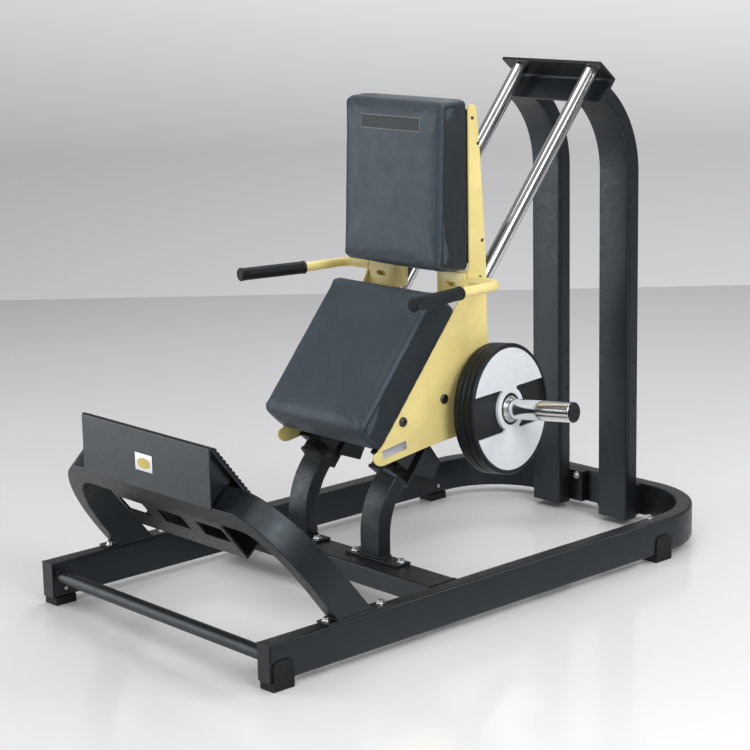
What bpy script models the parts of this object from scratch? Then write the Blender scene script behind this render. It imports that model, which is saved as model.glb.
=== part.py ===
"""Hack squat machine: a fixed frame with two inclined guide rods and a sliding seat carriage."""
import bpy
import bmesh
import math
from mathutils import Vector

for old in list(bpy.data.objects):
    bpy.data.objects.remove(old, do_unlink=True)

# ---- driving dimensions, metres. Lengths along the machine are measured from its front. ----
GAP = 0.0003            # clearance left between pieces that are bolted or welded together
RUN = 0.00008           # radial clearance of the bushings on the guide rods
LENGTH = 1.560          # front of the rails to the back of the rear bow
WIDTH = 0.860           # over the base rails
RAIL_W, RAIL_Z0, RAIL_Z1 = 0.042, 0.020, 0.108
BOW_R = 0.235           # outer radius of the rear corners
ROD_ANGLE = math.radians(50.3)
PLATE_T = 0.005         # sheet thickness of the carriage side plates
SIDE_X = 0.177          # outer face of the side plates
ROD_X, ROD_R = SIDE_X - 0.053, 0.0195
DATUM = (1.200, 1.024)       # (length, height) on the rod axes that the carriage is drawn from
TOWER_BACK = 0.360           # from that point to the back of the rear bow
ROD_PASS = (LENGTH - TOWER_BACK, DATUM[1])
UPR_X, UPR_W, UPR_D, UPR_SHOE = 0.120, 0.100, 0.045, 0.021
UPR_Y = LENGTH - RAIL_W - UPR_SHOE - UPR_D / 2
LEG_X, LEG_W, LEG_D, LEG_Y = ROD_X + 0.009, 0.070, 0.038, ROD_PASS[0] - 0.621
CROSS_Y0, CROSS_Y1, CROSS_Z0 = ROD_PASS[0] - 0.690, ROD_PASS[0] - 0.600, 0.058
FOOT_L, FOOT_TAB = 0.058, 0.0032
FOOT_FRONT, FOOT_REAR = 0.007, LENGTH - 0.295
ARCH_TOP_F, ARCH_TOP_R = 0.3645, 0.4090      # heights of the front and rear top edges of the arch
ARCH_RX, ARCH_RZ, ARCH_T = 0.150, 0.207, 0.042
TREAD_ANGLE = math.radians(51.5)
TREAD_X, TREAD_L = 0.238, 0.286
SEAT_X, SEAT_U0, SEAT_U1, SEAT_T = SIDE_X + 0.008, 0.648, 1.052, 0.086
BACK_X, BACK_Z0, BACK_Z1, BACK_T = SIDE_X - 0.001, 0.772, 1.189, 0.080
HORN_R = 0.025
HORN_YAW, HORN_UP = math.radians(9.0), math.radians(4.8)
HORN_Y, HORN_Z = 0.9186, 0.4252              # where the horns' axes leave the side plates
HORN_FREE, HORN_CAP = 0.180, 0.006           # bare length beyond the plates, and the end cap
HORN_STAND = 0.01145 + 0.19 * HORN_R         # side plate to the plates, clear of the tilted root
DISC_R, DISC_T, DISC_GAP = 0.161, 0.029, 0.0006

TOP_U, TOP_U0 = 1.808, 1.7385        # web and lower edge of the top bracket, up the rods
LOW_U = 0.628                        # underside of the shelves on the legs
UPR_END_U = 1.7667                   # centre of the uprights' ends on the top bracket

SU, CU = math.sin(ROD_ANGLE), math.cos(ROD_ANGLE)
ROD_V = DATUM[0] * SU - DATUM[1] * CU   # offset of the rod axes in the inclined frame


def place(x, along, z):
    """Point from width, distance from the front, and height."""
    return Vector((x, along - LENGTH / 2, z))


TOWER = Vector((0, ROD_PASS[0] - DATUM[0], ROD_PASS[1] - DATUM[1]))


def seat(x, along, z):
    """Point of the carriage, which keeps its place on the rods wherever they stand."""
    return place(x, along, z) + TOWER


def incl(x, u, v):
    """Point from the rods' own frame: u up along the rods, v behind their axes."""
    w = v + ROD_V
    return seat(x, u * CU + w * SU, u * SU - w * CU)


# ---- materials ----
def material(name, rgb, metallic, rough):
    m = bpy.data.materials.new(name)
    m.use_nodes = True
    b = m.node_tree.nodes["Principled BSDF"]
    b.inputs["Base Color"].default_value = (rgb[0], rgb[1], rgb[2], 1.0)
    b.inputs["Metallic"].default_value = metallic
    b.inputs["Roughness"].default_value = rough
    return m


CHARCOAL = (0.030, 0.033, 0.038)
YELLOW = (0.610, 0.500, 0.160)
LOOKS = {
    "charcoal": (CHARCOAL, 0.0, 0.42),
    "yellow": (YELLOW, 0.0, 0.38),
    "chrome": ((0.80, 0.81, 0.82), 1.0, 0.12),
    "rubber": ((0.018, 0.018, 0.019), 0.0, 0.75),
    "vinyl": ((0.065, 0.080, 0.098), 0.0, 0.50),
    "board": ((0.025, 0.026, 0.028), 0.0, 0.60),
    "cap": ((0.014, 0.014, 0.015), 0.0, 0.50),
    "white": ((0.780, 0.790, 0.800), 0.0, 0.45),
    "polymer": ((0.100, 0.100, 0.105), 0.0, 0.55),
}


# ---- mesh helpers ----
def finish(name, bm, look):
    bmesh.ops.remove_doubles(bm, verts=bm.verts, dist=1e-7)
    bmesh.ops.recalc_face_normals(bm, faces=bm.faces)
    me = bpy.data.meshes.new(name)
    bm.to_mesh(me)
    bm.free()
    ob = bpy.data.objects.new(name, me)
    bpy.context.scene.collection.objects.link(ob)
    me.materials.append(material(name, *LOOKS[look]))
    return ob


def loft(name, rings, look, closed=False):
    """Skin through rings of equal length; the ends are capped unless the loft closes on itself."""
    bm = bmesh.new()
    rows = [[bm.verts.new(p) for p in ring] for ring in rings]
    n = len(rows[0])
    pairs = list(zip(rows[:-1], rows[1:])) + ([(rows[-1], rows[0])] if closed else [])
    for a, b in pairs:
        for i in range(n):
            bm.faces.new((a[i], a[(i + 1) % n], b[(i + 1) % n], b[i]))
    if not closed:
        bm.faces.new(rows[0])
        bm.faces.new(list(reversed(rows[-1])))
    return finish(name, bm, look)


def prism(name, outline, offset, look):
    """Solid between an outline and the same outline moved by offset."""
    return loft(name, [outline, [p + offset for p in outline]], look)


def rect(w, h, r, k=1):
    """Rounded rectangle outline as 2-D points, anticlockwise."""
    pts = []
    for cx, cy, a0 in ((1, 1, 0), (-1, 1, 90), (-1, -1, 180), (1, -1, 270)):
        for i in range(k + 1):
            a = math.radians(a0 + 90.0 * i / k)
            pts.append((cx * (w / 2 - r) + r * math.cos(a), cy * (h / 2 - r) + r * math.sin(a)))
    return pts


def circle(r, n=32):
    return [(r * math.cos(2 * math.pi * i / n), r * math.sin(2 * math.pi * i / n)) for i in range(n)]


def sweep(name, path, side, section, look):
    """Sweep a 2-D section along a path; side is the constant direction of the section's first axis."""
    rings = []
    for i, p in enumerate(path):
        t = (path[min(i + 1, len(path) - 1)] - path[max(i - 1, 0)]).normalized()
        other = t.cross(side).normalized()
        rings.append([p + side * a + other * b for a, b in section])
    return loft(name, rings, look)


def basis(axis):
    a = axis.normalized()
    ref = Vector((0, 0, 1)) if abs(a.z) < 0.9 else Vector((0, 1, 0))
    e = ref.cross(a).normalized()
    return a, e, a.cross(e)


def lathe(name, base, axis, profile, look, n=32, closed=False):
    """Turn a profile of (radius, distance) about an axis; radius 0 at both ends makes a solid."""
    a, e, f = basis(axis)
    bm = bmesh.new()
    rows = []
    for r, t in profile:
        if r < 1e-9:
            rows.append([bm.verts.new(base + a * t)])
        else:
            rows.append([bm.verts.new(base + a * t + e * x + f * y) for x, y in circle(r, n)])
    steps = list(zip(rows[:-1], rows[1:])) + ([(rows[-1], rows[0])] if closed else [])
    for p, q in steps:
        for i in range(n):
            j = (i + 1) % n
            if len(p) == 1 and len(q) > 1:
                bm.faces.new((p[0], q[j], q[i]))
            elif len(q) == 1 and len(p) > 1:
                bm.faces.new((p[i], p[j], q[0]))
            elif len(p) > 1:
                bm.faces.new((p[i], p[j], q[j], q[i]))
    return finish(name, bm, look)


def rod(name, p, q, r, look, chamfer=0.0015, n=32):
    d = (q - p).length
    return lathe(name, p, q - p, [(0, 0), (r - chamfer, 0), (r, chamfer), (r, d - chamfer),
                                  (r - chamfer, d), (0, d)], look, n)


def ring(name, p, q, r_in, r_out, look, n=32, chamfer=0.001):
    d = (q - p).length
    c = chamfer
    return lathe(name, p, q - p, [(r_in, 0), (r_out - c, 0), (r_out, c), (r_out, d - c),
                                  (r_out - c, d), (r_in, d)], look, n, closed=True)


def block(name, centre, ex, ey, ez, size, look, bevel=0.0, seg=2):
    """Box of the given size about a centre on three unit axes, with rounded edges."""
    bm = bmesh.new()
    bmesh.ops.create_cube(bm, size=1.0)
    for v in bm.verts:
        v.co = Vector((v.co.x * size[0], v.co.y * size[1], v.co.z * size[2]))
    if bevel:
        bmesh.ops.bevel(bm, geom=list(bm.edges), offset=bevel, segments=seg, profile=0.5,
                        affect='EDGES', clamp_overlap=True)
    for v in bm.verts:
        v.co = centre + ex * v.co.x + ey * v.co.y + ez * v.co.z
    return finish(name, bm, look)


X, Y, Z = Vector((1, 0, 0)), Vector((0, 1, 0)), Vector((0, 0, 1))
U, V = Vector((0, CU, SU)), Vector((0, SU, -CU))


def span(name, x, y, z, look, bevel=0.0015, seg=2, spot=place):
    """Axis-aligned box from three (low, high) pairs; y is measured from the front."""
    c = spot((x[0] + x[1]) / 2, (y[0] + y[1]) / 2, (z[0] + z[1]) / 2)
    size = (x[1] - x[0], y[1] - y[0], z[1] - z[0])
    return block(name, c, X, Y, Z, size, look, bevel, seg)


def slab(name, x, u, v, look, bevel=0.0015, seg=2):
    """Box from (low, high) pairs in the rods' own frame."""
    c = incl((x[0] + x[1]) / 2, (u[0] + u[1]) / 2, (v[0] + v[1]) / 2)
    return block(name, c, X, U, V, (x[1] - x[0], u[1] - u[0], v[1] - v[0]), look, bevel, seg)


def both(pair, s):
    """Mirror a (low, high) pair in x for side s."""
    return tuple(sorted((pair[0] * s, pair[1] * s)))


SIDES = (("right", 1), ("left", -1))


# ---- base ----
def base_rail():
    c = WIDTH / 2 - RAIL_W / 2
    r = BOW_R - RAIL_W / 2
    zc = (RAIL_Z0 + RAIL_Z1) / 2
    cy = LENGTH - BOW_R
    pts = [(c, 0.004 + (cy - 0.004) * i / 4.6) for i in range(5)]
    pts += [(c - r + r * math.cos(t), cy + r * math.sin(t))
            for t in [math.radians(90 * i / 14) for i in range(15)]]
    pts += [(0.0, cy + r)] + [(-x, y) for x, y in reversed(pts)]
    path = [place(x, y, zc) for x, y in pts]
    sweep("base_rail", path, Z, rect(RAIL_Z1 - RAIL_Z0, RAIL_W, 0.006), "charcoal")


def base_ends():
    for side, s in SIDES:
        x = both((WIDTH / 2 - RAIL_W, WIDTH / 2), s)
        span("rail_cap_" + side, x, (0.0, 0.004 - GAP), (RAIL_Z0, RAIL_Z1), "cap", 0.0012)


def foot(name, s, y0):
    """Rubber shoe: a block under the rail with a tab up its outer side."""
    xi, xo = WIDTH / 2 - RAIL_W - 0.001, WIDTH / 2 + GAP
    top, tab = RAIL_Z0 - GAP, 0.068
    rows = []
    for y, zt in ((y0, tab - 0.012), (y0 + 0.004, tab - 0.004), (y0 + 0.012, tab),
                  (y0 + FOOT_L - 0.012, tab), (y0 + FOOT_L - 0.004, tab - 0.004),
                  (y0 + FOOT_L, tab - 0.012)):
        prof = [(xi, 0), (xo + FOOT_TAB - 0.002, 0), (xo + FOOT_TAB, 0.002), (xo + FOOT_TAB, zt),
                (xo, zt), (xo, top), (xi, top)]
        rows.append([place(s * a, y, b) for a, b in prof])
    loft(name, rows, "rubber")


def feet():
    for side, s in SIDES:
        foot("foot_front_" + side, s, FOOT_FRONT)
        foot("foot_rear_" + side, s, FOOT_REAR)


def crossbars():
    xi = WIDTH / 2 - RAIL_W - GAP
    rod("front_crossbar", place(-xi, 0.026, 0.071), place(xi, 0.026, 0.071), 0.0165, "charcoal")
    span("cross_member", (-xi, xi), (CROSS_Y0, CROSS_Y1), (CROSS_Z0, RAIL_Z1), "charcoal", 0.005)


# ---- uprights, legs, rods and their brackets ----
def arc_path(x, y0, z0, z1, r, ang, tail, back):
    """Vertical line from z0 to z1, then an arc that leans forward (back=-1) or rearward (+1)."""
    pts = [seat(x, y0, z0), seat(x, y0, (z0 + z1) / 2)]
    for i in range(13):
        t = ang * i / 12
        pts.append(seat(x, y0 + back * r * (1 - math.cos(t)), z1 + r * math.sin(t)))
    end = pts[-1] + Vector((0, back * math.sin(ang), math.cos(ang))) * tail
    return pts + [end]


def uprights():
    """Each stands in the bow and bends forward to end square on the top bracket's flange."""
    r, y0 = 0.260, UPR_Y - TOWER.y
    yc = y0 - r * (1 - math.cos(ROD_ANGLE))
    zc = (UPR_END_U - yc * CU) / SU
    z1 = zc - r * math.sin(ROD_ANGLE)
    reach = (yc * SU - zc * CU - ROD_V) - (0.045 + GAP)
    for side, s in SIDES:
        path = arc_path(s * UPR_X, y0, 0.018, z1, r, ROD_ANGLE, reach, -1)
        sweep("upright_" + side, path, X, rect(UPR_W, UPR_D, 0.005), "charcoal")
        xs = both((0.028, 0.165), s)
        span("upright_shoe_" + side, xs, (UPR_Y + UPR_D / 2 + GAP, LENGTH - RAIL_W - GAP),
             (0.022, 0.108), "charcoal", 0.002)


def legs():
    r, z1, lean, y0 = 0.190, 0.160, math.pi / 2 - ROD_ANGLE, LEG_Y - TOWER.y
    yc, zc = y0 + r * (1 - math.cos(lean)), z1 + r * math.sin(lean)
    reach = LOW_U - GAP - (yc * CU + zc * SU)
    for side, s in SIDES:
        path = arc_path(s * LEG_X, y0, RAIL_Z1 + 0.006 + 2 * GAP, z1, r, lean, reach, 1)
        sweep("leg_" + side, path, X, rect(LEG_W, LEG_D, 0.004), "charcoal")
        span("leg_flange_" + side, both((0.052, 0.236), s), (LEG_Y - 0.027, LEG_Y + 0.019),
             (RAIL_Z1 + GAP, RAIL_Z1 + 0.006 + GAP), "charcoal", 0.0012)


def top_bracket():
    """Folded angle across the machine: a web square to the rods and a flange behind them."""
    half, v0, v1, t = ROD_X + 0.047, -0.030, 0.045, 0.008
    out = [(TOP_U + t, v0), (TOP_U + t, v1), (TOP_U0, v1), (TOP_U0, v1 - t), (TOP_U, v1 - t),
           (TOP_U, v0)]
    prism("top_bracket", [incl(-half, u, v) for u, v in out], X * 2 * half, "charcoal")


def leg_head(name, s):
    """Seat for a rod on top of its leg: a shelf that narrows at the front, and a block behind."""
    shelf, lip, edge = LOW_U + 0.008, -ROD_R - 0.002, 0.011
    prof = [(LOW_U, lip), (LOW_U, edge), (LOW_U, 0.062), (0.665, 0.062), (0.687, 0.126),
            (0.732, 0.118), (0.745, 0.066), (0.745, 0.054), (shelf, 0.054), (shelf, edge), (shelf, lip)]
    inner, outer = LEG_X - LEG_W / 2, LEG_X + LEG_W / 2
    bm = bmesh.new()
    a = [bm.verts.new(incl(s * inner, u, v)) for u, v in prof]
    b = [bm.verts.new(incl(s * (outer if v > lip else ROD_X + 0.026), u, v)) for u, v in prof]
    n = len(prof)
    for i in range(n):
        j = (i + 1) % n
        bm.faces.new((a[i], a[j], b[j], b[i]))
    bm.faces.new(a)
    bm.faces.new(b[1:-1])
    bm.faces.new((b[0], b[1], b[-2], b[-1]))
    finish(name, bm, "charcoal")


def brackets():
    top_bracket()
    for side, s in SIDES:
        leg_head("leg_head_" + side, s)


def rods():
    for side, s in SIDES:
        x = s * ROD_X
        low = LOW_U + 0.008
        rod("guide_rod_" + side, incl(x, low + GAP, 0), incl(x, TOP_U - GAP, 0), ROD_R, "chrome")
        ring("rod_bumper_" + side, incl(x, low + 2 * GAP, 0), incl(x, low + 0.018, 0),
             ROD_R + GAP, ROD_R + 0.0105, "rubber", chamfer=0.004)


# ---- foot platform ----
def arch_edge(top, a, b, c, inner):
    """One corner line of the arch from its right base over the top to the left base."""
    off = ARCH_T if inner else 0.0
    lift = 0.0459 if inner else 0.0
    base = RAIL_Z1
    h, x0 = top - base, WIDTH / 2
    foot_h = 0.005 + 2 * GAP
    pts = [(x0 - off, foot_h + (h - ARCH_RZ - foot_h) * i / 4) for i in range(5)]
    for i in range(1, 15):
        t = math.radians(90 * i / 14)
        pts.append((x0 - ARCH_RX + (ARCH_RX - off) * math.cos(t),
                    h - ARCH_RZ + (ARCH_RZ - lift) * math.sin(t)))
    pts += [((x0 - ARCH_RX) * (1 - i / 3), h - lift) for i in range(1, 4)]
    pts += [(-x, v) for x, v in reversed(pts[:-1])]
    return [place(x, a + b * v + c * v * v, base + v) for x, v in pts]


def arch():
    front, rear = (0.203, -0.802, 0.363), (0.3057, -0.825, 0.090)
    fo = arch_edge(ARCH_TOP_F, *front, False)
    fi = arch_edge(ARCH_TOP_F, *front, True)
    ro = arch_edge(ARCH_TOP_R, *rear, False)
    ri = arch_edge(ARCH_TOP_R, *rear, True)
    loft("platform_arch", [list(c) for c in zip(fo, ro, ri, fi)], "charcoal")
    for side, s in SIDES:
        span("arch_flange_" + side, both((WIDTH / 2 - RAIL_W + 0.001, WIDTH / 2 - 0.001), s),
             (0.168, 0.360), (RAIL_Z1 + GAP, RAIL_Z1 + 0.005 + GAP), "charcoal", 0.001)


TC, TS = math.cos(TREAD_ANGLE), math.sin(TREAD_ANGLE)


def tread_point(x, d, h):
    """Point on the foot platform: d down its slope from the ridge, h above its plate's top."""
    return place(x, 0.0185 + d * TC + h * TS, 0.4985 - d * TS + h * TC)


def footplate():
    """One folded sheet: the upright front panel and the sloping platform, under a ribbed mat."""
    t = 0.005
    fold = [place(-TREAD_X, *p) for p in ((0.0065, 0.368), (0.0065, 0.500), (0.0085, 0.5045),
                                          (0.0125, 0.5060))]
    fold += [tread_point(-TREAD_X, TREAD_L, 0), tread_point(-TREAD_X, TREAD_L, -t)]
    fold += [place(-TREAD_X, *p) for p in ((0.0115, 0.4993), (0.0115, 0.368))]
    prism("footplate", fold, X * 2 * TREAD_X, "charcoal")
    ribs, pitch = [], 0.013
    for i in range(21):
        d = 0.002 + i * pitch
        ribs += [(d, 0.006), (d + 0.0015, 0.0085), (d + 0.0065, 0.0085), (d + 0.008, 0.006)]
    out = [(0.002, GAP)] + ribs + [(0.002 + 21 * pitch, 0.006), (0.002 + 21 * pitch, GAP)]
    prism("tread_mat", [tread_point(-TREAD_X, *p) for p in out], X * 2 * TREAD_X, "rubber")


def underframe():
    """Skin under the platform with three windows, and the plate that closes its lower end."""
    w, d0, d1, t, h = 0.203, 0.1613, 0.2824, 0.005, -0.080
    rows = (d0, 0.184, 0.232, d1)
    cols = (-w, -0.193, -0.100, -0.047, 0.047, 0.100, 0.193, w)
    bm = bmesh.new()
    grid = {}
    for k, hh in enumerate((h, h - t)):
        for i, d in enumerate(rows):
            for j, x in enumerate(cols):
                grid[k, i, j] = bm.verts.new(tread_point(x, d, hh))
    open_cells = {(1, 1), (1, 3), (1, 5)}
    cells = {(i, j) for i in range(3) for j in range(7)} - open_cells
    for i, j in cells:
        for k in (0, 1):
            bm.faces.new((grid[k, i, j], grid[k, i + 1, j], grid[k, i + 1, j + 1], grid[k, i, j + 1]))
        for di, dj, a, b in ((-1, 0, (i, j), (i, j + 1)), (1, 0, (i + 1, j), (i + 1, j + 1)),
                             (0, -1, (i, j), (i + 1, j)), (0, 1, (i, j + 1), (i + 1, j + 1))):
            if (i + di, j + dj) not in cells:
                bm.faces.new((grid[0, a[0], a[1]], grid[0, b[0], b[1]],
                              grid[1, b[0], b[1]], grid[1, a[0], a[1]]))
    finish("platform_skin", bm, "charcoal")
    out = [tread_point(-w, *p) for p in ((d1 + GAP, h - t), (d1 + GAP + t, h - t),
                                         (d1 + GAP + t, -t - GAP), (d1 + GAP, -t - GAP))]
    prism("platform_end", out, X * 2 * w, "charcoal")


def gussets():
    """Two ribs under the ends of the platform, standing on the arch's crosspiece."""
    low = -0.005 - GAP
    for side, s in SIDES:
        pts = [tread_point(s * 0.216, *p) for p in ((0.014, low), (0.1045, low), (0.0990, -0.0180),
                                                    (0.0985, -0.070), (0.088, -0.070))]
        prism("platform_rib_" + side, pts, X * s * 0.006, "charcoal")


# ---- carriage ----
SIDE_OUTLINE = [(0.5548, 0.3790), (0.5455, 0.3768), (0.5400, 0.3715), (0.5395, 0.3640),
                (0.5425, 0.3570), (0.5490, 0.3500), (0.5580, 0.3450), (0.5710, 0.3440),
                (0.6230, 0.3510), (0.7330, 0.3647), (0.8070, 0.3707), (0.9550, 0.3780),
                (0.9780, 0.3900), (0.9880, 0.4150), (0.9880, 0.4750), (0.9720, 0.5100),
                (0.9400, 0.5550), (0.9250, 0.6000), (0.9220, 0.6500), (0.9222, 0.7550),
                (0.9170, 0.8420), (0.9110, 0.9400), (0.9025, 1.0610), (0.8935, 1.1570),
                (0.8900, 1.1660), (0.8860, 1.1710), (0.8680, 1.1710), (0.8650, 1.1680),
                (0.8640, 0.7900), (0.8560, 0.7500), (0.8400, 0.7200), (0.8105, 0.6840)]


def side_plates():
    for side, s in SIDES:
        pts = [seat(s * (SIDE_X - PLATE_T), y, z) for y, z in SIDE_OUTLINE]
        prism("side_plate_" + side, pts, X * s * PLATE_T, "yellow")


def bearings():
    xi, xo = ROD_X - ROD_R - 0.0125, SIDE_X - PLATE_T - GAP
    for side, s in SIDES:
        for end, u0 in (("lower", 0.660), ("upper", 0.972)):
            bore_block("bearing_" + end + "_" + side, s, xi, xo, u0, 0.080)


def bore_block(name, s, xi, xo, u0, length):
    """Bearing block: runs on the guide rod and reaches out to the side plate."""
    n, r, half = 32, ROD_R + RUN, ROD_R + 0.0105
    outer, inner = [], []
    for i in range(n):
        t = 2 * math.pi * i / n
        dx, dv = math.cos(t), math.sin(t)
        lo, hi = -(ROD_X - xi), xo - ROD_X
        reach = min((hi if dx > 0 else -lo) / abs(dx) if abs(dx) > 1e-9 else 9,
                    half / abs(dv) if abs(dv) > 1e-9 else 9)
        outer.append((dx * reach, dv * reach))
        inner.append((dx * r, dv * r))
    corners = [(xo - ROD_X, half), (xi - ROD_X, half), (xi - ROD_X, -half), (xo - ROD_X, -half)]
    for cx, cv in corners:
        k = min(range(n), key=lambda i: (outer[i][0] - cx) ** 2 + (outer[i][1] - cv) ** 2)
        outer[k] = (cx, cv)
    bm = bmesh.new()
    levels = []
    for u in (u0, u0 + length):
        levels.append([[bm.verts.new(incl(s * (ROD_X + p[0]), u, p[1])) for p in loop]
                       for loop in (outer, inner)])
    for i in range(n):
        j = (i + 1) % n
        (o0, i0), (o1, i1) = levels
        bm.faces.new((o0[i], o0[j], o1[j], o1[i]))
        bm.faces.new((i0[i], i1[i], i1[j], i0[j]))
        bm.faces.new((o0[i], i0[i], i0[j], o0[j]))
        bm.faces.new((o1[i], o1[j], i1[j], i1[i]))
    finish(name, bm, "charcoal")


def carriage_frame():
    xw = SIDE_X - PLATE_T - GAP
    slab("seat_board", (-xw, xw), (0.665, 1.040), (-0.084, -0.072), "board", 0.002)
    span("back_board", (-xw, xw), (0.8655, 0.8775), (0.790, 1.160), "board", 0.002, spot=seat)
    for side, s in SIDES:
        span("frame_block_" + side, both((xw - 0.0957, xw), s), (0.851, 0.898), (0.704, 0.768),
             "yellow", 0.003, spot=seat)
    rod("horn_tube", seat(-xw, HORN_Y, HORN_Z), seat(xw, HORN_Y, HORN_Z), HORN_R + 0.009,
        "charcoal")


# ---- pads, handles ----
def pads():
    slab("seat_pad", (-SEAT_X, SEAT_X), (SEAT_U0, SEAT_U1), (-0.085 - SEAT_T, -0.085), "vinyl",
         0.022, 5)
    tilt = math.radians(2.5)
    up, out = Vector((0, math.sin(tilt), math.cos(tilt))), Vector((0, math.cos(tilt), -math.sin(tilt)))
    mid = seat(0, 0.8635 - BACK_T / 2 - 0.010, (BACK_Z0 + BACK_Z1) / 2)
    bm = bmesh.new()
    bmesh.ops.create_cube(bm, size=1.0)
    for v in bm.verts:
        x, y, z = v.co
        v.co = mid + X * 2 * BACK_X * x + out * BACK_T * y + up * (BACK_Z1 - BACK_Z0) * z
        if y > 0:
            v.co.y = seat(0, 0.8655 - GAP, 0).y
    bmesh.ops.bevel(bm, geom=list(bm.edges), offset=0.020, segments=5, profile=0.5, affect='EDGES',
                    clamp_overlap=True)
    finish("back_pad", bm, "vinyl")


def bend_path(points, r, k=6):
    """Polyline with each inner corner rounded to radius r."""
    out = [points[0]]
    for a, b, c in zip(points[:-2], points[1:-1], points[2:]):
        p, q = (a - b).normalized(), (c - b).normalized()
        half = math.acos(max(-1, min(1, p.dot(q)))) / 2
        cut = r / math.tan(half)
        mid = (p + q).normalized()
        centre = b + mid * (r / math.sin(half))
        s, e = b + p * cut - centre, b + q * cut - centre
        for i in range(k + 1):
            out.append(centre + s.slerp(e, i / k).normalized() * r)
    return out + [points[-1]]


def handles():
    for side, s in SIDES:
        z = 0.749
        pts = [seat(s * (SIDE_X + GAP), 0.868, z), seat(s * (SIDE_X + 0.095), 0.868, z),
               seat(s * (SIDE_X + 0.100), 0.742, z), seat(s * (SIDE_X + 0.1345), 0.5485, z + 0.001)]
        path = bend_path(pts, 0.030)
        sweep("handle_" + side, path, Z, circle(0.012, 16), "yellow")
        g0 = pts[2] + (pts[3] - pts[2]).normalized() * 0.012
        end = pts[3] + (pts[3] - pts[2]).normalized() * 0.001
        ring("grip_" + side, g0, end, 0.012 + GAP, 0.0168, "rubber", n=20, chamfer=0.003)


# ---- weight horns and plates ----
def horn_axis(s):
    return Vector((s * math.cos(HORN_YAW) * math.cos(HORN_UP),
                   math.sin(HORN_YAW) * math.cos(HORN_UP), math.sin(HORN_UP)))


def disc(name, c, d, look):
    """Weight plate: rim, recessed web and raised hub, bored for the horn."""
    t = DISC_T
    bore, rim = HORN_R + 0.0006, DISC_R - 0.009
    prof = [(bore, -t), (DISC_R - 0.005, -t), (DISC_R, -t + 0.005), (DISC_R, -0.005),
            (DISC_R - 0.005, 0), (rim, 0), (rim - 0.002, -0.0025), (bore + 0.0104, -0.0025),
            (bore + 0.0084, 0.0), (bore, 0.0)]
    lathe(name, c, d, prof, look, n=40, closed=True)


def inlay(name, c, d):
    """White hourglass face of the outer plate: two sectors joined by a ring round the hub."""
    a, e, f = basis(d)
    up = f if f.z > 0 else -f
    across = d.cross(up).normalized()
    r_out, r_hub, r_in, cut = DISC_R - 0.0115, HORN_R + 0.029, HORN_R + 0.0125, math.radians(27)
    outer, inner, n = [], [], 48
    for i in range(n):
        t = 2 * math.pi * i / n
        side = abs(math.sin(t)) > math.sin(cut)
        r = r_out if side else r_hub
        outer.append((r * math.cos(t), r * math.sin(t)))
        inner.append((r_in * math.cos(t), r_in * math.sin(t)))
    bm = bmesh.new()
    lev = [[[bm.verts.new(c + d * h + across * p[0] + up * p[1]) for p in loop]
            for loop in (outer, inner)] for h in (-0.0025 + GAP, -0.0008)]
    for i in range(n):
        j = (i + 1) % n
        (o0, i0), (o1, i1) = lev
        bm.faces.new((o0[i], o0[j], o1[j], o1[i]))
        bm.faces.new((i0[i], i1[i], i1[j], i0[j]))
        bm.faces.new((o0[i], i0[i], i0[j], o0[j]))
        bm.faces.new((o1[i], o1[j], i1[j], i1[i]))
    finish(name, bm, "white")


def horns():
    for side, s in SIDES:
        d = horn_axis(s)
        c = seat(s * SIDE_X, HORN_Y, HORN_Z) + d * (2 * DISC_T + HORN_STAND)
        t0, flange = -(2 * DISC_T + 0.0070), HORN_R + 0.017
        lathe("horn_" + side, c, d, [(0, t0 - 0.004), (HORN_R, t0 - 0.004), (HORN_R, t0),
                                     (flange, t0), (flange, t0 + 0.0055),
                                     (HORN_R, t0 + 0.0055), (HORN_R, HORN_FREE),
                                     (0, HORN_FREE)], "chrome")
        rod("horn_cap_" + side, c + d * (HORN_FREE + GAP), c + d * (HORN_FREE + HORN_CAP),
            HORN_R - GAP, "cap", 0.002)
        disc("plate_outer_" + side, c, d, "rubber")
        disc("plate_inner_" + side, c - d * (DISC_T + DISC_GAP), d, "rubber")
        inlay("plate_face_" + side, c, d)


def build():
    base_rail()
    base_ends()
    feet()
    crossbars()
    uprights()
    legs()
    brackets()
    rods()
    arch()
    footplate()
    underframe()
    gussets()
    side_plates()
    bearings()
    carriage_frame()
    pads()
    handles()
    horns()


build()
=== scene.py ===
"""Hack squat machine: the detailed visual model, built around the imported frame."""
import math
import bpy
import bmesh
from mathutils import Matrix, Vector, noise
from mathutils.bvhtree import BVHTree


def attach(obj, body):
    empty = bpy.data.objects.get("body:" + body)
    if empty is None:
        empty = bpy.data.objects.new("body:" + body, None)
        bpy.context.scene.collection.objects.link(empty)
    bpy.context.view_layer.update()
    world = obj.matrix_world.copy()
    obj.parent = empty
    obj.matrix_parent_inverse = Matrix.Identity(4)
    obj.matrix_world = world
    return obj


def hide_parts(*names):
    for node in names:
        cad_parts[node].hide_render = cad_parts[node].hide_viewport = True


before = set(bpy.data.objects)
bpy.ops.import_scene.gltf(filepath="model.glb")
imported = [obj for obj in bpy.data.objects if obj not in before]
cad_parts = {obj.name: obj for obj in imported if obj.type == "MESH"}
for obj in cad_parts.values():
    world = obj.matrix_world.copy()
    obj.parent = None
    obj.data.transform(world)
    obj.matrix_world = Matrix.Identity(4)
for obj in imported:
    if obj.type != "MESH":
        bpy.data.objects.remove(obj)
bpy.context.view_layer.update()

# ---- sizes that follow the CAD, metres; lengths along the machine are from its front ----
GAP = 0.0003
LENGTH, WIDTH = 1.56, 0.86
RAIL_W, RAIL_Z0, RAIL_Z1 = 0.042, 0.02, 0.108
BOW_R = 0.235
ANGLE = math.radians(50.3)
SU, CU = math.sin(ANGLE), math.cos(ANGLE)
ROD_V = 1.2 * SU - 1.024 * CU
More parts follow.
